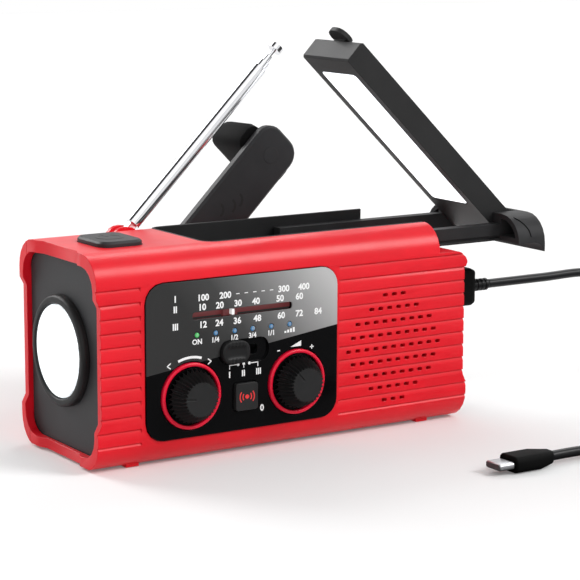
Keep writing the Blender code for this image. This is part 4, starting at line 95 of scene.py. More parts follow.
ARM_FRONT_Y = 0.0360
LAMP_TILT = 43.9

CAMERA_PLACE = (-0.40673, -0.65456, 0.19262)
CAMERA_YAW, CAMERA_PITCH, CAMERA_ROLL = 33.0, 10.21, 0.206
CAMERA_LENS, CAMERA_SENSOR = 129.7, 36.0
FLOOR_REACH, FLOOR_Z, FLOOR_LIFT = 3.0, -0.00015, 0.12
WORLD_LEVEL = 0.46
SUNS = (
    ("sun_back", (-0.25, 0.82, 0.52), 1.70, 30.0),
    ("sun_side", (0.54, -0.57, 0.63), 1.75, 24.0),
    ("sun_top", (0.54, 0.48, 0.69), 0.50, 22.0),
    ("sun_front", (-0.50, -0.75, 0.45), 0.35, 60.0),
)
CARDS = (
    ("dark_card_back", [(0.04, 1.18, 0.15), (0.55, 1.18, 0.66), (0.25, 1.11, 0.94), (-0.26, 1.11, 0.43)]),
    ("dark_card_left", [(-0.10, -0.24, 1.38), (-0.06, 0.43, 1.35), (-1.09, 0.45, 0.72), (-1.12, -0.22, 0.75)]),
    ("dark_card_front", [(-0.30, -0.80, 0.0004), (0.80, -0.80, 0.0004), (0.80, -0.05, 0.0004),
                         (-0.30, -0.05, 0.0004)]),
)


def colour_setting(name, description, default):
    """A colour in the sidebar."""
    return FloatVectorProperty(name=name, description=description, subtype="COLOR", size=3, min=0, max=1,
                               default=default)


class RadioColours(bpy.types.PropertyGroup):
    """Colours that a user would change."""
    case: colour_setting("Case red", "Colour of the two case shells", (0.76, 0.007, 0.018))
    ring: colour_setting("Ring red", "Colour of the rings round the knobs", (0.78, 0.006, 0.036))
    black: colour_setting("Black", "Colour of the grained black parts", (0.010, 0.010, 0.0105))
    grey: colour_setting("Dark grey", "Colour of the dark grey parts", (0.030, 0.030, 0.032))
    print_white: colour_setting("Print", "Colour of the printed marks", (0.86, 0.86, 0.86))
    light: colour_setting("Light", "Colour of the lit lamps", (0.95, 0.98, 1.0))


class RadioSizes(bpy.types.PropertyGroup):
    """Sizes of the fine surfaces that a user would change."""
    digit: FloatProperty(name="Digit height", description="Height of the printed scale digits", unit="LENGTH",
                         min=0.001, max=0.006, default=0.0023)
    flutes: IntProperty(name="Knob flutes", description="Number of flutes round each knob",
                        min=12, max=60, default=32)
    flute_depth: FloatProperty(name="Flute depth", description="Depth of the flutes at the knob's foot",
                               unit="LENGTH", min=0.0, max=0.002, default=0.0015)
    glow: FloatProperty(name="Lamp glow", description="Strength of the light that the lit lamps give off",
                        min=0.0, max=10.0, default=1.6)


# Grids and solids: each is (points, faces) in metres, at its place on the radio

def grid_faces(rows, columns, wrap_rows=False):
    """Quads over a grid of closed loops: point (i, j) joins (i, j+1), (i+1, j+1) and (i+1, j)."""
    row, column = np.meshgrid(np.arange(rows if wrap_rows else rows - 1), np.arange(columns), indexing="ij")
    next_row, next_column = (row + 1) % rows, (column + 1) % columns
    return np.stack([row * columns + column, row * columns + next_column,
                     next_row * columns + next_column, next_row * columns + column], -1).reshape(-1, 4).tolist()


def joined(*solids):
    """Several solids as one: points are listed after each other and face numbers move up to match."""
    points, faces, start = [], [], 0
    for solid_points, solid_faces in solids:
        points.append(solid_points)
        faces += [[index + start for index in face] for face in solid_faces]
        start += len(solid_points)
    return np.concatenate(points), faces


def closed_tube(rings):
    """A grid of rings, each a closed loop, with a flat lid on the first and the last loop."""
    rows, columns = rings.shape[:2]
    lids = [list(range(columns))[::-1], list(range((rows - 1) * columns, rows * columns))]
    return rings.reshape(-1, 3), grid_faces(rows, columns) + lids


def axes_for(direction):
    """A unit vector along a direction, and two more that are square to it and to each other."""
    direction = np.array(direction, float) / np.linalg.norm(direction)
    helper = np.array(UP) if abs(direction[2]) < 0.9 else np.array(RIGHT)
    side = np.cross(helper, direction)
    side /= np.linalg.norm(side)
    return direction, side, np.cross(direction, side)


def full_turn(steps):
    """Even angles round a circle, in radians."""
    return np.linspace(0, 2 * math.pi, steps, endpoint=False)


def circle(radius, steps):
    """A round outline."""
    angle = full_turn(steps)
    return np.stack([np.cos(angle), np.sin(angle)], -1) * radius


def spun(profile, origin, direction, turns):
    """Rings of a (radius, along) profile turned about an axis: at (i, a) the point is
    origin + along_i * axis + radius_i * (cos a * side + sin a * up)."""
    axis, side, up = axes_for(direction)
    radius, along = np.array(profile, float).T[:, :, None, None]
    angle = full_turn(turns)[:, None]
    return np.array(origin) + along * axis + np.maximum(radius, 1e-9) * (np.cos(angle) * side + np.sin(angle) * up)


def turned(profile, origin, direction, turns):
    """A solid of revolution whose profile runs from one lid to the other."""
    return closed_tube(spun(profile, origin, direction, turns))


def ring_solid(profile, origin, direction, turns=96):
    """A closed profile turned about an axis: both directions of the grid wrap round."""
    grid = spun(profile, origin, direction, turns)
    return grid.reshape(-1, 3), grid_faces(len(profile), turns, wrap_rows=True)


def rounded_corner(start, corner, end, steps=5):
    """Points of a quarter bend: the parabola through start and end that leans on the corner."""
    t = np.linspace(0, 1, steps)[:, None]
    start, corner, end = [np.array(point, float) for point in (start, corner, end)]
    return ((1 - t) ** 2 * start + 2 * t * (1 - t) * corner + t ** 2 * end).tolist()


def round_ended(length, height, corner):
    """Outline of an oblong with round corners about its own middle, its long sides given by many even points."""
    angle = np.linspace(0, math.pi / 2, 14)
    quarter = corner * np.stack([np.cos(angle), np.sin(angle)], -1) + [length / 2 - corner, height / 2 - corner]
    top = np.linspace(length / 2 - corner, -length / 2 + corner, 40)[1:-1]
    top = np.stack([top, np.full(len(top), height / 2)], -1)
    half = np.concatenate([quarter, top, quarter[::-1] * [-1, 1]])
    return np.concatenate([half, -half])


def slab(outline, plane_y=PRINT_Y, thickness=PRINT_LIFT):
    """A thin plate in the X-Z plane: its outline at the front face and again, thickness behind it."""
    outline = np.array(outline, float)
    return closed_tube(np.stack([np.stack([outline[:, 0], np.full(len(outline), y), outline[:, 1]], -1)
                                 for y in (plane_y, plane_y + thickness)]))


def bar(start, end, width, plane_y=PRINT_Y, thickness=PRINT_LIFT):
    """A printed line: a thin four-cornered plate from start to end, in the X-Z plane."""
    start, end = np.array(start, float), np.array(end, float)
    across = np.array([-(end - start)[1], (end - start)[0]]) / np.linalg.norm(end - start) * width / 2
    return slab([start + across, start - across, end - across, end + across], plane_y, thickness)


def arc_bar(centre, radius, first, last, width, plane_y=PRINT_Y, thickness=PRINT_LIFT, steps=16):
    """A printed arc: radius +- width / 2 between two angles, measured from +Z towards +X."""
    angle = np.radians(np.linspace(first, last, steps))
    spokes = np.stack([np.sin(angle), np.cos(angle)], -1)
    outline = np.concatenate([spokes * (radius + width / 2), spokes[::-1] * (radius - width / 2)])
    return slab(outline + np.array(centre), plane_y, thickness)


def disc(centre, radius, plane_y=PRINT_Y, thickness=PRINT_LIFT, steps=20):
    """A printed dot: a thin round plate in the X-Z plane."""
    return slab(circle(radius, steps) + np.array(centre), plane_y, thickness)


def vertex_places(mesh):
    """The places of a mesh's vertices, as an array of rows."""
    points = np.zeros(len(mesh.vertices) * 3, np.float32)
    mesh.vertices.foreach_get("co", points)
    return points.reshape(-1, 3).astype(float)


def lettering(text, centre, height, weight=BOLD):
    """Plain digits or signs as thin plates, upright in the X-Z plane and centred on a point."""
    curve = bpy.data.curves.new("lettering", "FONT")
    curve.body = text
    curve.size = height * 1.4
    curve.extrude = PRINT_LIFT / 2
    curve.offset = weight
    curve.resolution_u = 3
    curve.align_x = "CENTER"
    holder = bpy.data.objects.new("lettering", curve)
    mesh = bpy.data.meshes.new_from_object(holder)
    points = vertex_places(mesh)
    faces = [list(polygon.vertices) for polygon in mesh.polygons]
    bpy.data.objects.remove(holder)
    bpy.data.curves.remove(curve)
    bpy.data.meshes.remove(mesh)
    flat = points[:, :2] - (points[:, :2].max(0) + points[:, :2].min(0)) / 2 + np.array(centre)
    return np.stack([flat[:, 0], PRINT_Y + PRINT_LIFT / 2 - points[:, 2], flat[:, 1]], -1), faces


# Pieces

def placed(name, data):
    """A new object in the scene for a mesh, lamp or camera."""
    thing = bpy.data.objects.new(name, data)
    bpy.context.scene.collection.objects.link(thing)
    return thing


def settle(name, mesh, node, stands_for=True):
    """Puts a finished mesh on its CAD body, and hides the node that it stands for."""
    piece = placed(name, mesh)
    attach(piece, BODY_OF[node])
    if stands_for:
        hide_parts(node)
    return piece


def shade(mesh, sharp):
    """Smooth shading, with edges sharper than an angle kept crisp."""
    mesh.shade_smooth()
    mesh.set_sharp_from_angle(angle=math.radians(sharp))


def make_piece(name, solid, material, node, stands_for=True, sharp=35):
    """One object from a solid: doubles merged, faces turned outward, edges over the sharp angle kept."""
    points, faces = solid
    mesh = bpy.data.meshes.new(name)
    mesh.from_pydata(points.tolist(), [], faces)
    work = bmesh.new()
    work.from_mesh(mesh)
    bmesh.ops.remove_doubles(work, verts=work.verts, dist=2e-8)
    bmesh.ops.dissolve_degenerate(work, edges=work.edges, dist=1e-8)
    bmesh.ops.recalc_face_normals(work, faces=work.faces)
    work.to_mesh(mesh)
    work.free()
    shade(mesh, sharp)
    mesh.materials.append(material)
    return settle(name, mesh, node, stands_for)


def dress(node, material, rounding=0.0, sharp=32, segments=2):
    """A smooth copy of a solid: doubles merged, flat facets joined, sharp edges rounded by a Bevel modifier."""
    mesh = frame["nodes"][node].data.copy()
    mesh.name = node + "_skin"
    work = bmesh.new()
    work.from_mesh(mesh)
    bmesh.ops.remove_doubles(work, verts=work.verts, dist=1e-6)
    bmesh.ops.dissolve_limit(work, angle_limit=math.radians(0.4), verts=work.verts, edges=work.edges)
    work.to_mesh(mesh)
    work.free()
    mesh.materials.clear()
    mesh.materials.append(material)
    if "custom_normal" in mesh.attributes:
        mesh.attributes.remove(mesh.attributes["custom_normal"])
    shade(mesh, sharp)
    piece = settle(node + "_skin", mesh, node)
    if rounding:
        bevel = piece.modifiers.new("rounding", "BEVEL")
        bevel.width = rounding
        bevel.segments = segments
        bevel.limit_method = "ANGLE"
        bevel.angle_limit = math.radians(sharp)
        bevel.use_clamp_overlap = True
        bevel.harden_normals = True
    return piece


# Finishes

def math_operator(operation, reflected=False):
    """A method that sends two terms through a Math node, the other one first if it is reflected."""
    def method(value, other):
        return value.maths(operation, *((other, value) if reflected else (value, other)))
    return method


class Value:
    """A shader socket that Python expressions can use: each operator adds a Math node."""
    __add__, __radd__ = math_operator("ADD"), math_operator("ADD", True)
    __sub__, __rsub__ = math_operator("SUBTRACT"), math_operator("SUBTRACT", True)
    __mul__, __rmul__ = math_operator("MULTIPLY"), math_operator("MULTIPLY", True)
    __lt__, __gt__ = math_operator("LESS_THAN"), math_operator("GREATER_THAN")
    __pow__, __rpow__ = math_operator("POWER"), math_operator("POWER", True)
    larger = math_operator("MAXIMUM")
    turn_from = math_operator("ARCTAN2")

    def __init__(self, finish, socket):
        self.finish = finish
        self.socket = socket

    def maths(self, operation, *terms):
        """The result of a Math node on these terms."""
        return self.finish.node("ShaderNodeMath", {"operation": operation}, dict(enumerate(terms)))

    def wave(self):
        """The sine of this value."""
        return self.maths("SINE", self)

    def size(self):
        """This value without its sign."""
        return self.maths("ABSOLUTE", self)

    def within(self, low, high):
        """This value mapped from low..high to 0..1 and kept there."""
        return self.finish.node("ShaderNodeMapRange", {"clamp": True}, {0: self, 1: low, 2: high, 3: 0.0, 4: 1.0})


class Finish:
    """A material, or the world, and the tree that its surface is worked out in."""

    def __init__(self, name, kind="materials"):
        self.material = getattr(bpy.data, kind).new(name)
        self.material.use_nodes = True
        self.tree = self.material.node_tree
        self.tree.nodes.clear()

    def node(self, kind, settings=None, inputs=None, output=0):
        """One node: its settings and ramp stops first, then its sockets' values and links."""
        made = self.tree.nodes.new(kind)
        for name, value in (settings or {}).items():
            if name == "stops":
                ramp = made.color_ramp
                while len(ramp.elements) > 1:
                    ramp.elements.remove(ramp.elements[-1])
                for index, (place, colour) in enumerate(value):
                    stop = ramp.elements[0] if index == 0 else ramp.elements.new(place)
                    stop.position = place
                    stop.color = (*colour, 1.0)
            else:
                setattr(made, name, value)
        for name, value in (inputs or {}).items():
            if isinstance(value, Value):
                self.tree.links.new(value.socket, made.inputs[name])
            elif isinstance(value, (tuple, list)) and made.inputs[name].type == "RGBA":
                made.inputs[name].default_value = (*value, 1.0)
            else:
                made.inputs[name].default_value = value
        return made if output is None else Value(self, made.outputs[output])

    def parts(self, vector=None):
        """The X, Y and Z of a vector, or else of the point on the object, in metres."""
        split = self.node("ShaderNodeSeparateXYZ", {}, {0: vector or self.place()}, output=None)
        return [Value(self, output) for output in split.outputs]

    def place(self):
        """The point on the object, in metres."""
        return self.node("ShaderNodeTexCoord", output="Object")

    def cell(self):
        """How far along and across its panel the point lies, from 0 to 1."""
        return self.parts(self.node("ShaderNodeAttribute", {"attribute_name": "cell"}, output="Vector"))[:2]

    def noise(self, scale, detail=2.0, roughness=0.5, stretch=None):
        """Smooth noise from 0 to 1 with a scale in cells per metre, drawn out along an axis if asked."""
        place = self.place()
        if stretch:
            place = self.node("ShaderNodeMapping", {}, {"Vector": place, "Scale": stretch})
        return self.node("ShaderNodeTexNoise", {}, {"Vector": place, "Scale": scale, "Detail": detail,
                                                    "Roughness": roughness})

    def mix(self, factor, first, second):
        """Two colours mixed by a factor."""
        return self.node("ShaderNodeMix", {"data_type": "RGBA"}, {0: factor, 6: first, 7: second}, output=2)

    def bump(self, height, distance, strength=1.0, rounding=0.0):
        """A normal raised by a height from 0 to 1, over edges rounded by a radius."""
        inputs = {"Height": height, "Distance": distance, "Strength": strength}
        if rounding:
            inputs["Normal"] = self.node("ShaderNodeBevel", {"samples": 6}, {"Radius": rounding})
        return self.node("ShaderNodeBump", {}, inputs)

    def white_rays(self):
        """One for camera, glossy and transmission rays, which see the white background, and zero for light."""
        path = self.node("ShaderNodeLightPath", output=None).outputs
        camera, glossy, through = [Value(self, path["Is %s Ray" % kind]) for kind in
                                   ("Camera", "Glossy", "Transmission")]
        return camera.larger(glossy).larger(through)

    def done(self, surface):
        """Sends a shader to the output and returns the material."""
        self.node("ShaderNodeOutputMaterial", {}, {"Surface": surface}, output=None)
        return self.material

    def surface(self, **inputs):
        """Ends in a Principled shader with sockets named in words: base_color sets Base Color."""
        names = {"coat": "Coat Weight", "emission": "Emission Color", "specular": "Specular IOR Level",
                 "subsurface": "Subsurface Weight"}
        sockets = {names.get(key, key.replace("_", " ").title()): value for key, value in inputs.items()}
        return self.done(self.node("ShaderNodeBsdfPrincipled", {}, sockets))


def shaded(colour, share):
    """A colour made darker or lighter by one share."""
    return tuple(min(1.0, part * share) for part in colour)


def neutral(level):
    """A colour without hue."""
    return (level, level, level)


def moulded_red(colour):
    """Case red: glossy moulded plastic with a faint flow mottle, soft orange peel and rounded edges."""
    finish = Finish("moulded_red")
    base = finish.mix(finish.noise(55.0, 3.0).within(0.3, 0.7), shaded(colour, 0.93), shaded(colour, 1.05))
    rough = 0.27 + finish.noise(160.0, 4.0) * 0.10
    return finish.surface(base_color=base, roughness=rough, specular=0.26,
                          normal=finish.bump(finish.noise(900.0), 0.00003, 0.35, rounding=0.0004))


def ring_red(colour):
    """Ring red: brighter and glossier than the case, with fine turning marks."""
    finish = Finish("ring_red")
    marks = finish.noise(1400.0)
    base = finish.mix(finish.noise(80.0), shaded(colour, 0.95), shaded(colour, 1.05))
    return finish.surface(base_color=base, roughness=0.22 + marks * 0.08, specular=0.35,
                          normal=finish.bump(marks, 0.00001, 0.4))


def grained(name, colour, roughness=0.42, grain=1500.0, rounding=0.0003, specular=0.25):
    """Dark plastic with a spark-eroded grain, a slow change of tone and gloss, and edges rounded in the shading."""
    finish = Finish(name)
    fine, slow = finish.noise(grain, 3.0, 0.6), finish.noise(70.0, 3.0)
    base = finish.mix(slow.within(0.25, 0.75), shaded(colour, 0.85), shaded(colour, 1.25))
    return finish.surface(base_color=base, roughness=roughness + slow * 0.10 + fine * 0.06, specular=specular,
                          normal=finish.bump(fine, 0.00004, 0.5, rounding=rounding))


def dial_gloss_painted_reflection():
    """Dial plate: polished black below, and above a slanting line a painted reflection, a grey that brightens to the
    right.
    """
    finish = Finish("dial_gloss_painted_reflection")
    x, y, z = finish.parts()
    # Painted reflection: above this slanting line the base colour is a grey ramp that stands in for a reflected light;
    # the inner walls stay black
    upper = (z - x * 0.131 - 0.04140).within(-0.00006, 0.00006)
    stops = [(place, neutral(level)) for place, level in
             ((0.0, 0.038), (0.26, 0.062), (0.48, 0.15), (0.73, 0.30), (1.0, 0.50))]
    painted_reflection = finish.node("ShaderNodeValToRGB", {"stops": stops}, {0: (x + z * 0.8).within(-0.0008, 0.0652)})
    lower = (0.0028, 0.0028, 0.0032)
    base = finish.mix(y > PLATE_FACE_Y + 0.0004, finish.mix(upper, lower, painted_reflection), lower)
    smears = finish.noise(120.0, 4.0)
    return finish.surface(base_color=base, roughness=0.10 + smears * 0.06, specular=0.10,
                          normal=finish.bump(smears, 0.000004, 0.3, rounding=0.0003))


def printed(name, colour, glow=0.0):
    """Ink: slightly uneven cover with a soft edge to its gloss; a glow above zero adds painted light, so the ink shines
    as if lit.
    """
    finish = Finish(name)
    cover = finish.noise(2500.0)
    # Painted light: emission at the glow strength makes the ink brighter than its lighting gives
    return finish.surface(base_color=finish.mix(cover, shaded(colour, 0.9), colour), roughness=0.45 + cover * 0.1,
                          emission=colour, emission_strength=glow)


def plated():
    """Bright plating: mirror metal with a breath of haze."""
    finish = Finish("plated")
    haze = finish.noise(300.0, 3.0)
    base = finish.mix(haze, (0.72, 0.73, 0.75), (0.80, 0.80, 0.82))
    return finish.surface(base_color=base, metallic=1.0, roughness=0.07 + haze * 0.07,
                          normal=finish.bump(haze, 0.000004, 0.2))


def brushed(name, colour):
    """Sheet metal with brushing drawn out along X."""
    finish = Finish(name)
    lines = finish.noise(700.0, 4.0, 0.6, (1.0, 8.0, 8.0))
    base = finish.mix(lines, shaded(colour, 0.85), shaded(colour, 1.1))
    return finish.surface(base_color=base, metallic=1.0, roughness=0.30 + lines * 0.12,
                          normal=finish.bump(lines, 0.00001, 0.5, rounding=0.0001))


def circuit():
    """Circuit board: green lacquer, paler copper tracks on a square grid, and glass weave under it."""
    finish = Finish("circuit")
    x, y, z = finish.parts()
    tracks = ((x * 1800.0 + (z * 300.0).wave() * 1.5).wave() > 0.75) * ((z * 900.0).wave() > -0.6)
    weave = (x * 5200.0).wave() * (z * 5200.0).wave()
    base = finish.mix(tracks, (0.010, 0.105, 0.035), (0.045, 0.22, 0.07))
    return finish.surface(base_color=base, roughness=0.30 + weave.size() * 0.08, coat=0.3,
                          normal=finish.bump(tracks + weave * 0.1, 0.00004, 0.5))


def shrink_wrap():
    """Battery wrap: dark blue film pulled tight, with shallow creases round the cells."""
    finish = Finish("shrink_wrap")
    creases = finish.noise(150.0, 5.0, 0.6, (0.3, 1.0, 1.0))
    base = finish.mix(creases, (0.010, 0.035, 0.16), (0.022, 0.06, 0.24))
    return finish.surface(base_color=base, roughness=0.20 + creases * 0.12,
                          normal=finish.bump(creases, 0.0002, 0.5, rounding=0.0006))


def white_nylon():
    """Moulded nylon: off-white, a little waxy."""
    finish = Finish("white_nylon")
    colour = (0.74, 0.73, 0.70)
    mottle = finish.noise(220.0, 3.0)
    return finish.surface(base_color=finish.mix(mottle, shaded(colour, 0.92), colour), roughness=0.35 + mottle * 0.1,
                          subsurface=0.08, subsurface_scale=0.001,
                          normal=finish.bump(mottle, 0.00003, 0.4, rounding=0.0002))


def solar_glass():
    """Solar cell: dark blue silicon crossed by fine silver fingers and two wider bars, under clear resin."""
    finish = Finish("solar_glass")
    along, across = finish.cell()
    fingers = (along * 2 * math.pi * 44).wave() > 0.93
    bars = ((across - 0.5).size() - 0.22).size() < 0.018
    gaps = (along * 2 * math.pi * 6).wave() > 0.985
    silicon = finish.mix(finish.noise(90.0, 4.0), (0.006, 0.012, 0.045), (0.018, 0.035, 0.12))
    base = finish.mix(fingers.larger(bars), silicon, (0.42, 0.43, 0.45))
    return finish.surface(base_color=finish.mix(gaps, base, (0.01, 0.01, 0.012)), roughness=0.18, coat=0.8,
                          coat_roughness=0.05)


def soft_jacket():
    """Cable jacket: smooth near-black vinyl with a satin gloss and faint moulding marks."""
    finish = Finish("soft_jacket")
    fine = finish.noise(1800.0, 3.0)
    base = finish.mix(fine, (0.004, 0.004, 0.0045), (0.008, 0.008, 0.009))
    return finish.surface(base_color=base, roughness=0.30 + fine * 0.10, specular=0.20,
                          normal=finish.bump(fine, 0.00002, 0.4, rounding=0.0003))


def pointer_paint_and_glow():
    """Tuning pointer: a white flag in the slot, and the dull red sled behind the plate that carries it; both give off a
    painted glow, though the pointer is no lamp, so the flag stays white in the slot's shade.
    """
    finish = Finish("pointer_paint_and_glow")
    x, y, z = finish.parts()
    fine = finish.noise(900.0, 3.0)
    white = finish.mix(fine, (0.80, 0.80, 0.79), (0.88, 0.88, 0.87))
    base = finish.mix(y > SLED_FRONT_Y, white, (0.14, 0.03, 0.032))
    # Painted light: the emission makes the flag and the sled glow as if lit
    return finish.surface(base_color=base, roughness=0.35 + fine * 0.1, emission=base, emission_strength=0.45,
                          normal=finish.bump(fine, 0.00002, 0.4))


def lit_lens(colour, glow):
    """Flashlight lens, lit: white at the middle, falling off to a clear grey rim with fine rays."""
    finish = Finish("lit_lens")
    x, y, z = finish.parts()
    across, high = y - LAMP_FACE_Y, z - LAMP_FACE_Z
    radius = (across * across + high * high) ** 0.5
    angle = across.turn_from(high)
    rays = (angle * 17.0).wave() * 0.5 + (angle * 41.0).wave() * 0.5
    level = 1.0 - (radius * (1.0 + rays * 0.07)).within(0.0105, 0.0172)
    shown = finish.mix(level ** 0.8, (0.30, 0.32, 0.33), colour)
    ripple = (angle * 90.0).wave() * radius * 60.0
    return finish.surface(base_color=(0.75, 0.78, 0.80), roughness=0.10, emission=shown, emission_strength=glow,
                          normal=finish.bump(ripple, 0.00003, 0.3))


def lit_cover(colour, glow):
    """Lamp cover, lit: frosted white, greyer at its rim, with fine prisms and a small ripple over each lamp."""
    finish = Finish("lit_cover")
    along, across = finish.cell()
    spots = ((along * 6.0 - 0.5) * 2 * math.pi + math.pi).wave()
    rim = ((across - 0.5).size() * 2.0).larger((along - 0.5).size() * 2.0)
    shown = finish.mix(1.0 - rim.within(0.80, 1.02) * 0.55, (0.42, 0.45, 0.48), colour)
    prisms = (along * 400.0).wave() * (across * 110.0).wave()
    return finish.surface(base_color=(0.8, 0.82, 0.84), roughness=0.25 + spots * 0.02, emission=shown,
                          emission_strength=glow, normal=finish.bump(prisms, 0.00004, 0.4))


def lit_dot(name, colour):
    """Indicator lens: a small coloured dome that is paler at its crown."""
    finish = Finish(name)
    x, y, z = finish.parts()
    crown = (PLATE_FACE_Y - y).within(0.00024, 0.00036)
    pale = finish.mix(crown, colour, tuple(part * 0.5 + 0.32 for part in colour))
    return finish.surface(base_color=shaded(colour, 0.3), roughness=0.20 + crown * 0.05, emission=pale,
                          emission_strength=0.75)


def red_strip_painted_glow():
    """Strip behind the pointer's slot: dull translucent red along its middle and dark beside it, and all of it gives
    off a painted glow, strongest along the red middle, though it is no lamp.
    """
    finish = Finish("red_strip_painted_glow")
    x, y, z = finish.parts()
    streak = finish.noise(400.0, 2.0, 0.5, (0.2, 1.0, 1.0))
    band = (z - STRIP_Z).size() < 0.00085
    middle = finish.mix(streak, (0.15, 0.034, 0.036), (0.22, 0.055, 0.058))
    base = finish.mix(band, (0.035, 0.033, 0.033), middle)
    # Painted light: the strip glows, red along its middle band and faint grey beside it
    glow = finish.mix(band, neutral(0.03), (0.16, 0.034, 0.036))
    return finish.surface(base_color=base, roughness=0.30 + streak * 0.1, emission=glow, emission_strength=0.5)


def pale_floor():
    """Stage floor: matt white, lifted for the camera alone so that it reads as a white page with a shadow."""
    finish = Finish("pale_floor")
    paper = finish.node("ShaderNodeBsdfDiffuse", {}, {"Color": neutral(0.78)})
    lift = finish.node("ShaderNodeEmission", {}, {"Color": neutral(1.0), "Strength": finish.white_rays() * FLOOR_LIFT})
    return finish.done(finish.node("ShaderNodeAddShader", {}, {0: paper, 1: lift}))


@functools.lru_cache(maxsize=None)
def looks(make, *arguments, **settings):
    """A finish, made once and then shared by the pieces that have it."""
    return make(*arguments, **settings)


def colours():
    """The scene's colour settings."""
    return bpy.context.scene.radio_colours


def sizes():
    """The scene's size settings."""
    return bpy.context.scene.radio_sizes


def black():
    """The grained black of most small parts."""
    return looks(grained, "grained_black", tuple(colours().black))


def grey():
    """The grained dark grey of the end panels and the crank's arm."""
    return looks(grained, "grained_grey", tuple(colours().grey))


def steel():
    """The brushed steel of pins, shafts, sockets and screws."""
    return looks(brushed, "steel", (0.52, 0.52, 0.54))


# Surfaces of the single pieces

def knob_surface(node, flutes, depth, notch_turn):
    """Knob: radius(a, s) tapers from the foot to the face and dips by depth * |sin(flutes * a / 2)| ** 0.7 along the
    flank, so the ridges stay sharp; the flat face has a short notch line sunk near its edge, turned by an angle."""
    low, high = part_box(node)
    centre, foot_y, height = (low.x + high.x) / 2, high.y, (high.y - low.y) * 0.91
    foot, face, rim = (high.x - low.x) / 2, (high.x - low.x) / 2 * 0.74, 0.0005
    angle = full_turn(flutes * 12)
    flank = [(0.0, 0.0, 0.0), (foot - rim, 0.0, 1.0), (foot, rim, 1.0)]
    flank += [(foot + (face - foot) * share, rim + (height - 2 * rim) * share, 1.0)
              for share in np.linspace(0.1, 1, 10)]
    flank += [(face - rim * 0.4, height - rim * 0.4, 0.8), (face - rim * 1.2, height, 0.45),
              (face - rim * 2.4, height, 0.0)]
    flank += [(radius, height, 0.0) for radius in np.linspace(face - rim * 3.0, 0.0003, 16)]
    reach, rise, fluted = np.array(flank).T[:, :, None]
    dip = depth * np.abs(np.sin(flutes * angle / 2)) ** 0.7
    radius = np.maximum(reach - fluted * dip, 1e-6)
    across, upward = radius * np.cos(angle), radius * np.sin(angle)
    turned_across = across * math.cos(notch_turn) - upward * math.sin(notch_turn)
    turned_up = across * math.sin(notch_turn) + upward * math.cos(notch_turn)
    notch = (np.abs(turned_across) < 0.00032) & (turned_up > face * 0.30) & (turned_up < face * 0.82)
    along = rise - (notch & (rise == height)) * 0.0003
    return closed_tube(np.stack([centre + across, foot_y - along, KNOB_Z + upward], -1))


def ring_profile():
    """Knob ring: a band with rounded edges, as (radius, along) pairs of a closed profile."""
    outer, inner, top, bend = 0.0121, 0.0107, 0.0015, 0.0006
    profile = rounded_corner((outer, bend), (outer, top), (outer - bend, top))
    profile += rounded_corner((inner + 0.0005, top), (inner, top), (inner, top - 0.0005))
    return profile + [(inner, 0.0), (outer, 0.0)]


def screw_surface(centre_x, centre_z):
    """Screw head: y(r, a) is a low dome minus a cross recess where |u| or |v| is under a half width near the axis."""
    angle = full_turn(48)
    radius = np.concatenate([np.linspace(0.00005, 0.0024, 16), [0.0026, SCREW_RADIUS, SCREW_RADIUS]])[:, None]
    u, v = radius * np.cos(angle), radius * np.sin(angle)
    dome = 0.0006 * (1 - (radius / SCREW_RADIUS) ** 2)
    arm = np.minimum(np.abs(u), np.abs(v))
    lift = dome - np.clip((0.00042 - arm) / 0.00012, 0, 1) * np.clip((0.0017 - radius) / 0.0003, 0, 1) * 0.0007
    lift[-1] = -0.0009
    return closed_tube(np.stack([centre_x + u, SCREW_Y + lift, centre_z + v], -1)[::-1])


def cell_attribute(piece, along_axis, across_axis):
    """Stores on each point how far along and across its panel it lies, from 0 to 1."""
    mesh = piece.data
    points = vertex_places(mesh)
    reach = points @ np.array(along_axis)
    start, end = points[reach.argmin()].copy(), points[reach.argmax()].copy()
    start[1], end[1] = points[:, 1].min(), points[:, 1].max()
    u, v = [(points - start) @ np.array(axis) / (end - start).dot(np.array(axis))
            for axis in (along_axis, across_axis)]
    attribute = mesh.attributes.new("cell", "FLOAT_VECTOR", "POINT")
    attribute.data.foreach_set("vector", np.stack([u, v, u * 0], -1).astype(np.float32).ravel())


def cord_route():
    """The lead's route: out of the strain relief, down to the floor, round and back to the far plug."""
    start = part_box("usb_strain_relief")[1].x
    far_low, far_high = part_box("device_plug_grip")
    end, far_z, low = far_high.x + GAP, (far_low.z + far_high.z) / 2, CORD_RADIUS + GAP
    y, z = CORD_Y, PLUG_Z
    return [(start + GAP, y, z), (start + 0.012, y, z), (start + 0.030, y, z), (start + 0.052, y, z),
            (start + 0.072, y - 0.001, z - 0.0035), (start + 0.090, y - 0.004, z - 0.0125),
            (start + 0.105, y - 0.011, low + 0.017), (start + 0.116, y - 0.022, low + 0.0055),
            (start + 0.121, y - 0.037, low), (start + 0.117, y - 0.054, low), (start + 0.106, y - 0.070, low),
            (start + 0.089, y - 0.083, low), (start + 0.066, y - 0.091, low), (start + 0.040, FAR_Y, low),
            (end + 0.040, FAR_Y, low), (end + 0.014, FAR_Y, far_z), (end, FAR_Y, far_z)]


def smooth_line(route, steps=24):
    """Points on the smooth cubic through a route: at t it is half of 2b + (c-a)t + (2a-5b+4c-d)t2 + (3b-a-3c+d)t3."""
    route = np.array(route, float)
    padded = np.concatenate([route[:1], route, route[-1:]])[:, None, :]
    before, here, there, after = padded[:-3], padded[1:-2], padded[2:-1], padded[3:]
    t = (np.arange(steps) / steps)[None, :, None]
    line = 0.5 * (2 * here + (there - before) * t + (2 * before - 5 * here + 4 * there - after) * t ** 2
                  + (3 * here - before - 3 * there + after) * t ** 3)
    line = np.concatenate([line.reshape(-1, 3), route[-1:]])
    line[:, 2] = np.maximum(line[:, 2], CORD_RADIUS + GAP)
    return line


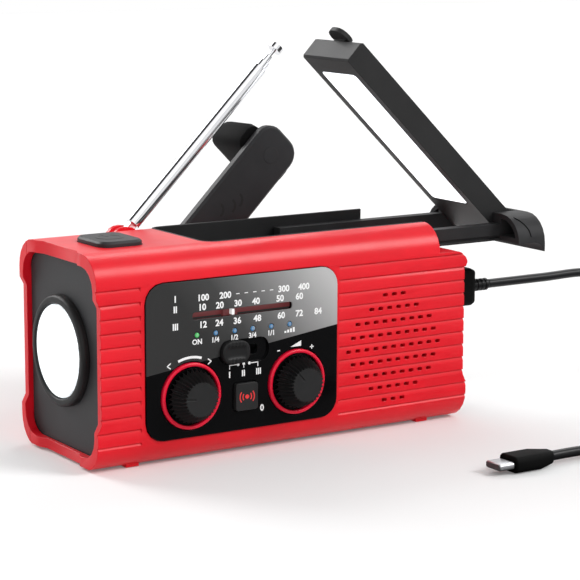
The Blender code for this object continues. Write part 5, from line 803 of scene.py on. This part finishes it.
def evenly(line, count):
    """The same line with its points at an even spacing, and its length."""
    lengths = np.concatenate([[0], np.cumsum(np.linalg.norm(np.diff(line, axis=0), axis=1))])
    wanted = np.linspace(0, lengths[-1], count)
    return np.stack([np.interp(wanted, lengths, line[:, axis]) for axis in range(3)], -1), lengths[-1]


def carried(section, line):
    """A closed section (side, up) carried along a line: at (s, a) it is line(s) + side(a) * side(s) + up(a) * up(s),
    where side(s) stays level and up(s) is square to it and to the line."""
    forward = np.gradient(line, axis=0)
    forward /= np.linalg.norm(forward, axis=1)[:, None]
    side = np.cross(forward, np.array(UP))
    side[np.linalg.norm(side, axis=1) < 0.05] = np.array(RIGHT)
    side /= np.linalg.norm(side, axis=1)[:, None]
    up = np.cross(side, forward)
    return closed_tube(line[:, None, :] + section[None, :, 0, None] * side[:, None, :]
                       + section[None, :, 1, None] * up[:, None, :])


# Operators: one for each piece or group of like pieces

class RadioPiece:
    """What the operators below share."""
    bl_options = {"REGISTER", "UNDO"}

    def execute(self, context):
        self.build()
        return {"FINISHED"}


class RADIO_OT_stage(RadioPiece, bpy.types.Operator):
    """Set the camera, the pale floor, the soft lamps and the world"""
    bl_idname = "radio.stage"
    bl_label = "Stage"

    def build(self):
        bpy.context.scene.view_settings.view_transform = "Standard"
        self.camera()
        self.world()
        reach = FLOOR_REACH
        self.sheet("floor", [(-reach, -reach, FLOOR_Z), (reach, -reach, FLOOR_Z), (reach, reach, FLOOR_Z),
                             (-reach, reach, FLOOR_Z)], pale_floor())
        for sun in SUNS:
            self.sun(*sun)
        for name, corners in CARDS:
            self.card(name, corners)

    def camera(self):
        """The photo's camera: yaw from +Y towards +X, pitch downwards, and a slight roll."""
        yaw, pitch, roll = [math.radians(angle) for angle in (CAMERA_YAW, CAMERA_PITCH, CAMERA_ROLL)]
        ahead = np.array([math.sin(yaw) * math.cos(pitch), math.cos(yaw) * math.cos(pitch), -math.sin(pitch)])
        side = np.array([math.cos(yaw), -math.sin(yaw), 0.0])
        up = np.cross(side, ahead)
        side, up = math.cos(roll) * side + math.sin(roll) * up, math.cos(roll) * up - math.sin(roll) * side
        lens = bpy.data.cameras.new("photo_view")
        lens.sensor_width = CAMERA_SENSOR
        lens.lens = CAMERA_LENS
        lens.clip_start, lens.clip_end = 0.01, 20.0
        camera = placed("photo_view", lens)
        camera.matrix_world = Matrix.Translation(CAMERA_PLACE) @ Matrix((side, up, -ahead)).transposed().to_4x4()
        bpy.context.scene.camera = camera

    def world(self):
        """An even pale surround: plain white to the camera and in reflections, softer as light."""
        surround = Finish("surround", "worlds")
        level = surround.mix(surround.white_rays(), neutral(WORLD_LEVEL), neutral(1.0))
        background = surround.node("ShaderNodeBackground", {}, {"Color": level})
        surround.node("ShaderNodeOutputWorld", {}, {"Surface": background}, output=None)
        bpy.context.scene.world = surround.material

    def sun(self, name, place, strength, spread):
        """A wide soft sun that shines from a direction, so that the floor is lit alike everywhere."""
        light = bpy.data.lights.new(name, "SUN")
        light.energy = strength
        light.angle = math.radians(spread)
        ahead, side, up = axes_for(-np.array(place))
        placed(name, light).matrix_world = Matrix((side, up, -ahead)).transposed().to_4x4()

    def sheet(self, name, corners, material):
        """A flat four-cornered sheet that belongs to the stage."""
        mesh = bpy.data.meshes.new(name)
        mesh.from_pydata(corners, [], [(0, 1, 2, 3)])
        mesh.materials.append(material)
        sheet = placed(name, mesh)
        return sheet

    def card(self, name, corners):
        """A dark card that only reflections see: it darkens glossy faces and draws dark lines on bright metal."""
        card = self.sheet(name, corners, looks(printed, "flag_black", neutral(0.01)))
        card.visible_camera = card.visible_diffuse = card.visible_shadow = card.visible_transmission = False


class RADIO_OT_lead(RadioPiece, bpy.types.Operator):
    """Make the charging lead: cord, strain relief, grips and plug shells"""
    bl_idname = "radio.lead"
    bl_label = "Charging lead"

    def build(self):
        jacket = looks(soft_jacket)
        line, length = evenly(smooth_line(cord_route()), 190)
        cord = make_piece("charge_cord_jacket", carried(circle(CORD_RADIUS, 20), line), jacket, "charge_cord")
        # Partly painted shade: the grips are matt black, and made darker and duller still to stand in for the deep
        # shade they sit in
        moulded = looks(grained, "plug_black", neutral(0.0020), roughness=0.60, specular=0.08)
        grip = dress("usb_plug_grip", moulded, 0.0004, segments=3)
        shell = dress("usb_plug_shell", steel(), 0.0002)
        relief = dress("usb_strain_relief", jacket, 0.0002)
        far_grip = dress("device_plug_grip", moulded, 0.0007, segments=3)
        far_tip = dress("device_plug_tip", steel(), 0.0005, segments=3)


class RADIO_OT_case(RadioPiece, bpy.types.Operator):
    """Finish the two case shells, the end panels and the case screws"""
    bl_idname = "radio.case"
    bl_label = "Case"

    def build(self):
        for shell in ("front_shell", "rear_shell"):
            dress(shell, looks(moulded_red, tuple(colours().case)), sharp=28)
        dress("lamp_bay", black(), 0.0003)
        dress("flashlight_panel", grey())
        dress("port_panel", grey())
        screws = [screw_surface(x, z) for x in SCREWS_X for z in SCREWS_Z]
        make_piece("case_screws", joined(*screws), steel(), "rear_shell", stands_for=False, sharp=40)


class RADIO_OT_flashlight(RadioPiece, bpy.types.Operator):
    """Make the flashlight in the left end: bezel, lens, reflector and lamp"""
    bl_idname = "radio.flashlight"
    bl_label = "Flashlight"

    def build(self):
        centre = (0.0, LAMP_FACE_Y, LAMP_FACE_Z)
        low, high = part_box("flashlight_bezel")
        outer, bore = (high.z - low.z) / 2, LENS_RADIUS + GAP
        front, back = -low.x, -high.x
        profile = rounded_corner((outer, back + 0.0012), (outer - 0.0002, front), (outer - 0.0014, front), 7)
        profile += rounded_corner((LENS_RADIUS + 0.0008, front), (bore, front), (bore, front - 0.0008))
        profile += [(bore, back), (outer, back)]
        make_piece("flashlight_bezel_ring", ring_solid(profile, centre, LEFT), black(), "flashlight_bezel")
        low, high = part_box("flashlight_lens")
        front, back = -low.x, -high.x
        dome = [(0.0, back), (LENS_RADIUS - 0.0003, back), (LENS_RADIUS - 0.0001, back + 0.0004)]
        dome += [(LENS_RADIUS * math.cos(t) * 0.985, back + 0.0008 + (front - back - 0.0008) * math.sin(t))
                 for t in np.linspace(0.1, math.pi / 2, 12)]
        make_piece("flashlight_lens_dome", turned(dome, centre, LEFT, 96),
                   looks(lit_lens, tuple(colours().light), sizes().glow), "flashlight_lens")
        dress("flashlight_reflector", looks(plated), sharp=40)
        dress("flashlight_led", looks(white_nylon), 0.0001)


class RADIO_OT_dial(RadioPiece, bpy.types.Operator):
    """Finish the dial plate and print its scales, marks and indicator lamps"""
    bl_idname = "radio.dial"
    bl_label = "Dial plate"

    def build(self):
        dress("dial_plate", looks(dial_gloss_painted_reflection), 0.0002)
        dress("indicator_lights", looks(white_nylon))
        dress("dial_pointer", looks(pointer_paint_and_glow), 0.0001)
        # Painted light: the white print glows a little, as if lit
        white = looks(printed, "print_white", tuple(colours().print_white), 0.12)
        make_piece("dial_marks", joined(*self.scales(), *self.knob_marks(), *self.slider_marks()), white,
                   "dial_plate", stands_for=False)
        strip = slab([(STRIP_LEFT, 0.0505), (STRIP_RIGHT, 0.0505), (STRIP_RIGHT, 0.0555), (STRIP_LEFT, 0.0555)],
                     STRIP_BACK_Y, 0.0004)
        make_piece("pointer_strip", strip, looks(red_strip_painted_glow), "dial_plate", stands_for=False)
        tuned, *charge = [self.dome(x) for x in LIGHTS_X]
        make_piece("tuned_light", tuned, looks(lit_dot, "dot_green", (0.05, 0.50, 0.11)), "indicator_lights",
                   stands_for=False)
        make_piece("charge_lights", joined(*charge), looks(lit_dot, "dot_blue", (0.035, 0.17, 0.36)),
                   "indicator_lights", stands_for=False)

    def scales(self):
        """Three rows of plain numbers round the pointer's slot, with roman numerals at their left, and the labels of
        the indicator lamps: ON, quarters, and a row of growing bars."""
        digit = sizes().digit
        rows = ((0.0594, ((-0.0377, "100"), (-0.0288, "200"), (-0.0041, "300"), (0.0045, "400"))),
                (0.0560, ((-0.0381, "10"), (-0.0311, "20"), (-0.0235, "30"), (-0.0160, "40"), (-0.0057, "50"),
                          (0.0026, "60"))),
                (0.0497, ((-0.0378, "12"), (-0.0313, "24"), (-0.0238, "36"), (-0.0154, "48"), (-0.0052, "60"),
                          (0.0026, "72"), (0.0108, "84"))))
        marks = [lettering(text, (x, z), digit) for z, row in rows for x, text in row]
        marks += [bar((x - 0.0007, 0.0594), (x + 0.0007, 0.0594), 0.0003) for x in np.linspace(-0.0236, -0.0094, 5)]
        marks += [lettering(text, (-0.0493, z), digit) for z, text in ((0.0598, "I"), (0.0561, "II"), (0.0499, "III"))]
        marks += [lettering(text, (x, LABEL_Z), digit * 0.8, BOLD * 0.7)
                  for x, text in zip(LIGHTS_X, ("ON", "1/4", "1/2", "3/4", "1/1"))]
        marks += [bar((-0.0034 + step * 0.0012, LABEL_Z - 0.0007),
                      (-0.0034 + step * 0.0012, LABEL_Z + step * 0.00035), 0.0008) for step in range(4)]
        return marks

    def knob_marks(self):
        """An arc with arrow heads over the tuning knob; a rising wedge between minus and plus over the volume knob."""
        marks = [arc_bar((TUNING_X, KNOB_Z), 0.0140, -22, 18, 0.0009)]
        for x, side in ((-0.0519, -1), (-0.0355, 1)):
            marks += [bar((x + side * 0.0008, 0.0361), (x - side * 0.0006, 0.0361 + lean), 0.0004)
                      for lean in (0.0010, -0.0010)]
        marks += [slab([(-0.0012, 0.0375), (0.0034, 0.0375), (0.0034, 0.0395)]),
                  bar((-0.0069, 0.0367), (-0.0057, 0.0367), 0.0004),
                  bar((0.0073, 0.0367), (0.0089, 0.0367), 0.0004), bar((0.0081, 0.0359), (0.0081, 0.0375), 0.0004),
                  lettering("0", (-0.0134, 0.0165), sizes().digit)]
        return marks

    def slider_marks(self):
        """Three dots under the slider, with lines that lead to three roman numerals."""
        row, low = 0.0336, 0.0321
        left, middle, right = SLIDER_STOPS_X
        marks = [disc((x, row), 0.00055, steps=14) for x in SLIDER_STOPS_X]
        for x, corner in ((left, left - 0.0036), (right, right + 0.0036)):
            marks += [bar((x, row), (corner, row), 0.0003), bar((corner, row + 0.00015), (corner, low), 0.0003)]
        marks.append(bar((middle, row), (middle, low), 0.0003))
        marks += [lettering(text, (x, 0.0302), sizes().digit * 0.95)
                  for x, text in ((-0.0271, "I"), (-0.0213, "II"), (-0.0149, "III"))]
        return marks

    def dome(self, x):
        """A small lens on an indicator post: a low dome of revolution that faces forward."""
        rise = [(LIGHT_RADIUS * math.cos(t), 0.00005 + 0.0003 * math.sin(t)) for t in np.linspace(0, math.pi / 2, 6)]
        return turned([(0.0, 0.0), (LIGHT_RADIUS, 0.0)] + rise, (x, PLATE_FACE_Y, LIGHT_Z), FORWARD, 20)


class RADIO_OT_controls(RadioPiece, bpy.types.Operator):
    """Make the knobs, rings, band slider, alarm button and power button"""
    bl_idname = "radio.controls"
    bl_label = "Controls"

    def build(self):
        rings = looks(ring_red, tuple(colours().ring))
        knob = looks(grained, "knob_black", (0.016, 0.016, 0.0165), roughness=0.40, rounding=0.00015)
        for name, x, turn in (("tuning", TUNING_X, TUNING_NOTCH), ("volume", VOLUME_X, VOLUME_NOTCH)):
            make_piece(name + "_ring_band", ring_solid(ring_profile(), (x, RING_BACK_Y, KNOB_Z), FORWARD), rings,
                       name + "_ring", sharp=50)
            fluted = knob_surface(name + "_knob", sizes().flutes, sizes().flute_depth, math.radians(turn))
            make_piece(name + "_knob_fluted", fluted, knob, name + "_knob", sharp=60)
            dress(name + "_shaft", steel())
        make_piece("band_slider_cap", self.slider_cap(), black(), "band_slider", sharp=50)
        dress("sos_button", looks(grained, "button_black", (0.017, 0.017, 0.0175)), 0.0002)
        dress("power_button", grey(), 0.0003)
        self.alarm_mark()
        self.power_mark()

    def slider_cap(self):
        """Slider cap: y(x, z) over its round-ended outline is a low crown, with five short ribs along its upper and
        lower edges and a dish between them, and the outline's edge drops straight back."""
        low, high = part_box("band_slider")
        length, height = SLIDER_LENGTH, high.z - low.z
        middle = np.array([(low.x + low.x + length) / 2, (low.z + high.z) / 2])
        share = np.concatenate([[1.0, 1.0], 1 - np.linspace(0, 1, 44) ** 1.3 * 0.985])
        points = middle + share[:, None, None] * round_ended(length, height, SLIDER_CORNER)
        x, z = (points[..., 0] - middle[0]) / length, np.abs(points[..., 1] - middle[1]) / (height / 2)
        ribbed = (np.abs(x) < 0.34) * np.clip((z - 0.50) / 0.06, 0, 1)
        rib = np.clip(np.cos(x * 2 * math.pi * 7.5) * 1.6, 0, 1) * ribbed
        dish = np.clip(1 - (np.abs(x) / 0.36) ** 4, 0, 1) * np.clip(1 - (z / 0.58) ** 4, 0, 1)
        edge = np.clip((1 - share[:, None]) / 0.08, 0, 1) ** 0.5
        crown = low.y + 0.00055 - edge * 0.00035 - rib * edge * 0.0002 + dish * 0.00055
        crown[0] = SLIDER_BACK_Y
        return closed_tube(np.stack([points[..., 0], crown, points[..., 1]], -1))

    def alarm_mark(self):
        """Alarm sign printed in red: a dot between two pairs of arcs, like waves that spread."""
        centre, lift = (ALARM_X, ALARM_Z), 0.00005
        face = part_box("sos_button")[0].y - lift
        marks = [disc(centre, 0.0008, face, lift)]
        marks += [arc_bar(centre, radius, middle - 38, middle + 38, 0.00045, face, lift)
                  for radius in (0.0018, 0.0030) for middle in (90, -90)]
        # Painted light: the red print glows a little, as if lit
        make_piece("alarm_mark", joined(*marks), looks(printed, "print_red", (0.75, 0.03, 0.03), 0.10),
                   "sos_button", stands_for=False)

    def power_mark(self):
        """Power sign on the top pad: an open ring with a bar through its gap, turned to lie on the pad."""
        low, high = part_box("power_button")
        points, faces = joined(arc_bar((0.0, 0.0), 0.0046, 32, 328, 0.0013, 0.0, 0.00008, 28),
                               bar((0.0, 0.0016), (0.0, 0.0062), 0.0013, 0.0, 0.00008))
        flat = np.stack([points[:, 0] + (low.x + high.x) / 2, points[:, 2] + (low.y + high.y) / 2,
                         high.z + 0.00008 - points[:, 1]], -1)
        make_piece("power_mark", (flat, faces), looks(printed, "mark_black", neutral(0.002)),
                   "power_button", stands_for=False)


class RADIO_OT_inside(RadioPiece, bpy.types.Operator):
    """Finish what is inside the case: board, switches, speaker, battery, gears and generator"""
    bl_idname = "radio.inside"
    bl_label = "Inside parts"

    def build(self):
        nylon = looks(white_nylon)
        for node in ("band_switch", "sos_switch", "volume_control", "gear_bracket", "usb_socket", "charge_socket",
                     "speaker_magnet", "generator"):
            dress(node, steel(), 0.0001)
        dress("main_board", looks(circuit))
        dress("tuning_capacitor", nylon, 0.0002)
        dress("battery_pack", looks(shrink_wrap))
        dress("speaker", looks(grained, "paper_cone", (0.018, 0.017, 0.016), roughness=0.7, grain=700.0), sharp=40)
        dress("generator_pinion", looks(brushed, "brass", (0.66, 0.45, 0.17)))
        dress("idler_gear", nylon)
        dress("crank_gear", nylon)


class RADIO_OT_crank(RadioPiece, bpy.types.Operator):
    """Finish the crank: hub, folding arm, handle and pins"""
    bl_idname = "radio.crank"
    bl_label = "Crank"

    def build(self):
        rubber = looks(grained, "handle_black", (0.006, 0.006, 0.0063), roughness=0.66, specular=0.08)
        dress("crank_hub", black(), 0.0003)
        dress("crank_arm", grey(), 0.0002)
        dress("crank_handle", rubber, 0.0004)
        dress("crank_fold_pin", steel())
        dress("crank_handle_axle", black(), 0.0002)
        front, depth = ARM_FRONT_Y - PRINT_LIFT, PRINT_LIFT * 2
        marks = [arc_bar(centre, 0.0028, 35, 150, 0.0010, front, depth)
                 for centre in ((0.0078, 0.0790), (0.0132, 0.0803), (0.0165, 0.0823))]
        make_piece("turn_marks", joined(*marks), looks(printed, "mark_black", neutral(0.002)), "crank_arm",
                   stands_for=False)
        low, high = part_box("crank_handle_axle")
        make_piece("crank_arm_cap", disc(((low.x + high.x) / 2, (low.z + high.z) / 2), 0.0034, front, depth, 40),
                   grey(), "crank_arm", stands_for=False)


class RADIO_OT_antenna(RadioPiece, bpy.types.Operator):
    """Make the telescopic antenna in bright plated tube"""
    bl_idname = "radio.antenna"
    bl_label = "Antenna"

    def build(self):
        for index in range(1, 5):
            dress("antenna_section_%d" % index, looks(plated), sharp=40)
        dress("antenna_pivot_pin", steel())


class RADIO_OT_lamp(RadioPiece, bpy.types.Operator):
    """Finish the folding lamp and its carriage"""
    bl_idname = "radio.lamp"
    bl_label = "Folding lamp"

    def build(self):
        dress("lamp_carriage", looks(grained, "rail_grey", (0.025, 0.025, 0.026), specular=0.12), 0.0003)
        dress("lamp_hinge_pin", steel())
        dress("lamp_housing", looks(grained, "lamp_grey", (0.016, 0.016, 0.0165)), 0.0003)
        dress("lamp_led_strip", looks(white_nylon))
        cover = dress("lamp_cover", looks(lit_cover, tuple(colours().light), sizes().glow))
        cell = dress("solar_cell", looks(solar_glass))
        tilt = math.radians(LAMP_TILT)
        for piece in (cover, cell):
            cell_attribute(piece, (-math.cos(tilt), 0.0, math.sin(tilt)), BACKWARD)


class RADIO_PT_panel(bpy.types.Panel):
    """Lists the radio's steps and settings in the sidebar"""
    bl_idname = "RADIO_PT_panel"
    bl_label = "Weather radio"
    bl_space_type = "VIEW_3D"
    bl_region_type = "UI"
    bl_category = "Radio"

    def draw(self, context):
        for settings in (context.scene.radio_colours, context.scene.radio_sizes):
            for name in settings.__annotations__:
                self.layout.prop(settings, name)
        for step in STEPS:
            self.layout.operator(step.bl_idname)


STEPS = (RADIO_OT_stage, RADIO_OT_lead, RADIO_OT_case, RADIO_OT_flashlight, RADIO_OT_dial, RADIO_OT_controls,
         RADIO_OT_inside, RADIO_OT_crank, RADIO_OT_antenna, RADIO_OT_lamp)
CLASSES = (RadioColours, RadioSizes, *STEPS, RADIO_PT_panel)


def register():
    """Registers the classes and the scene's settings."""
    for item in CLASSES:
        bpy.utils.register_class(item)
    bpy.types.Scene.radio_colours = PointerProperty(type=RadioColours)
    bpy.types.Scene.radio_sizes = PointerProperty(type=RadioSizes)


def unregister():
    """Takes them away again."""
    del bpy.types.Scene.radio_colours
    del bpy.types.Scene.radio_sizes
    for item in reversed(CLASSES):
        bpy.utils.unregister_class(item)


def main():
    """Registers the classes and builds every piece in order."""
    register()
    for step in STEPS:
        group, name = step.bl_idname.split(".")
        getattr(getattr(bpy.ops, group), name)()


if __name__ == "__main__":
    main()
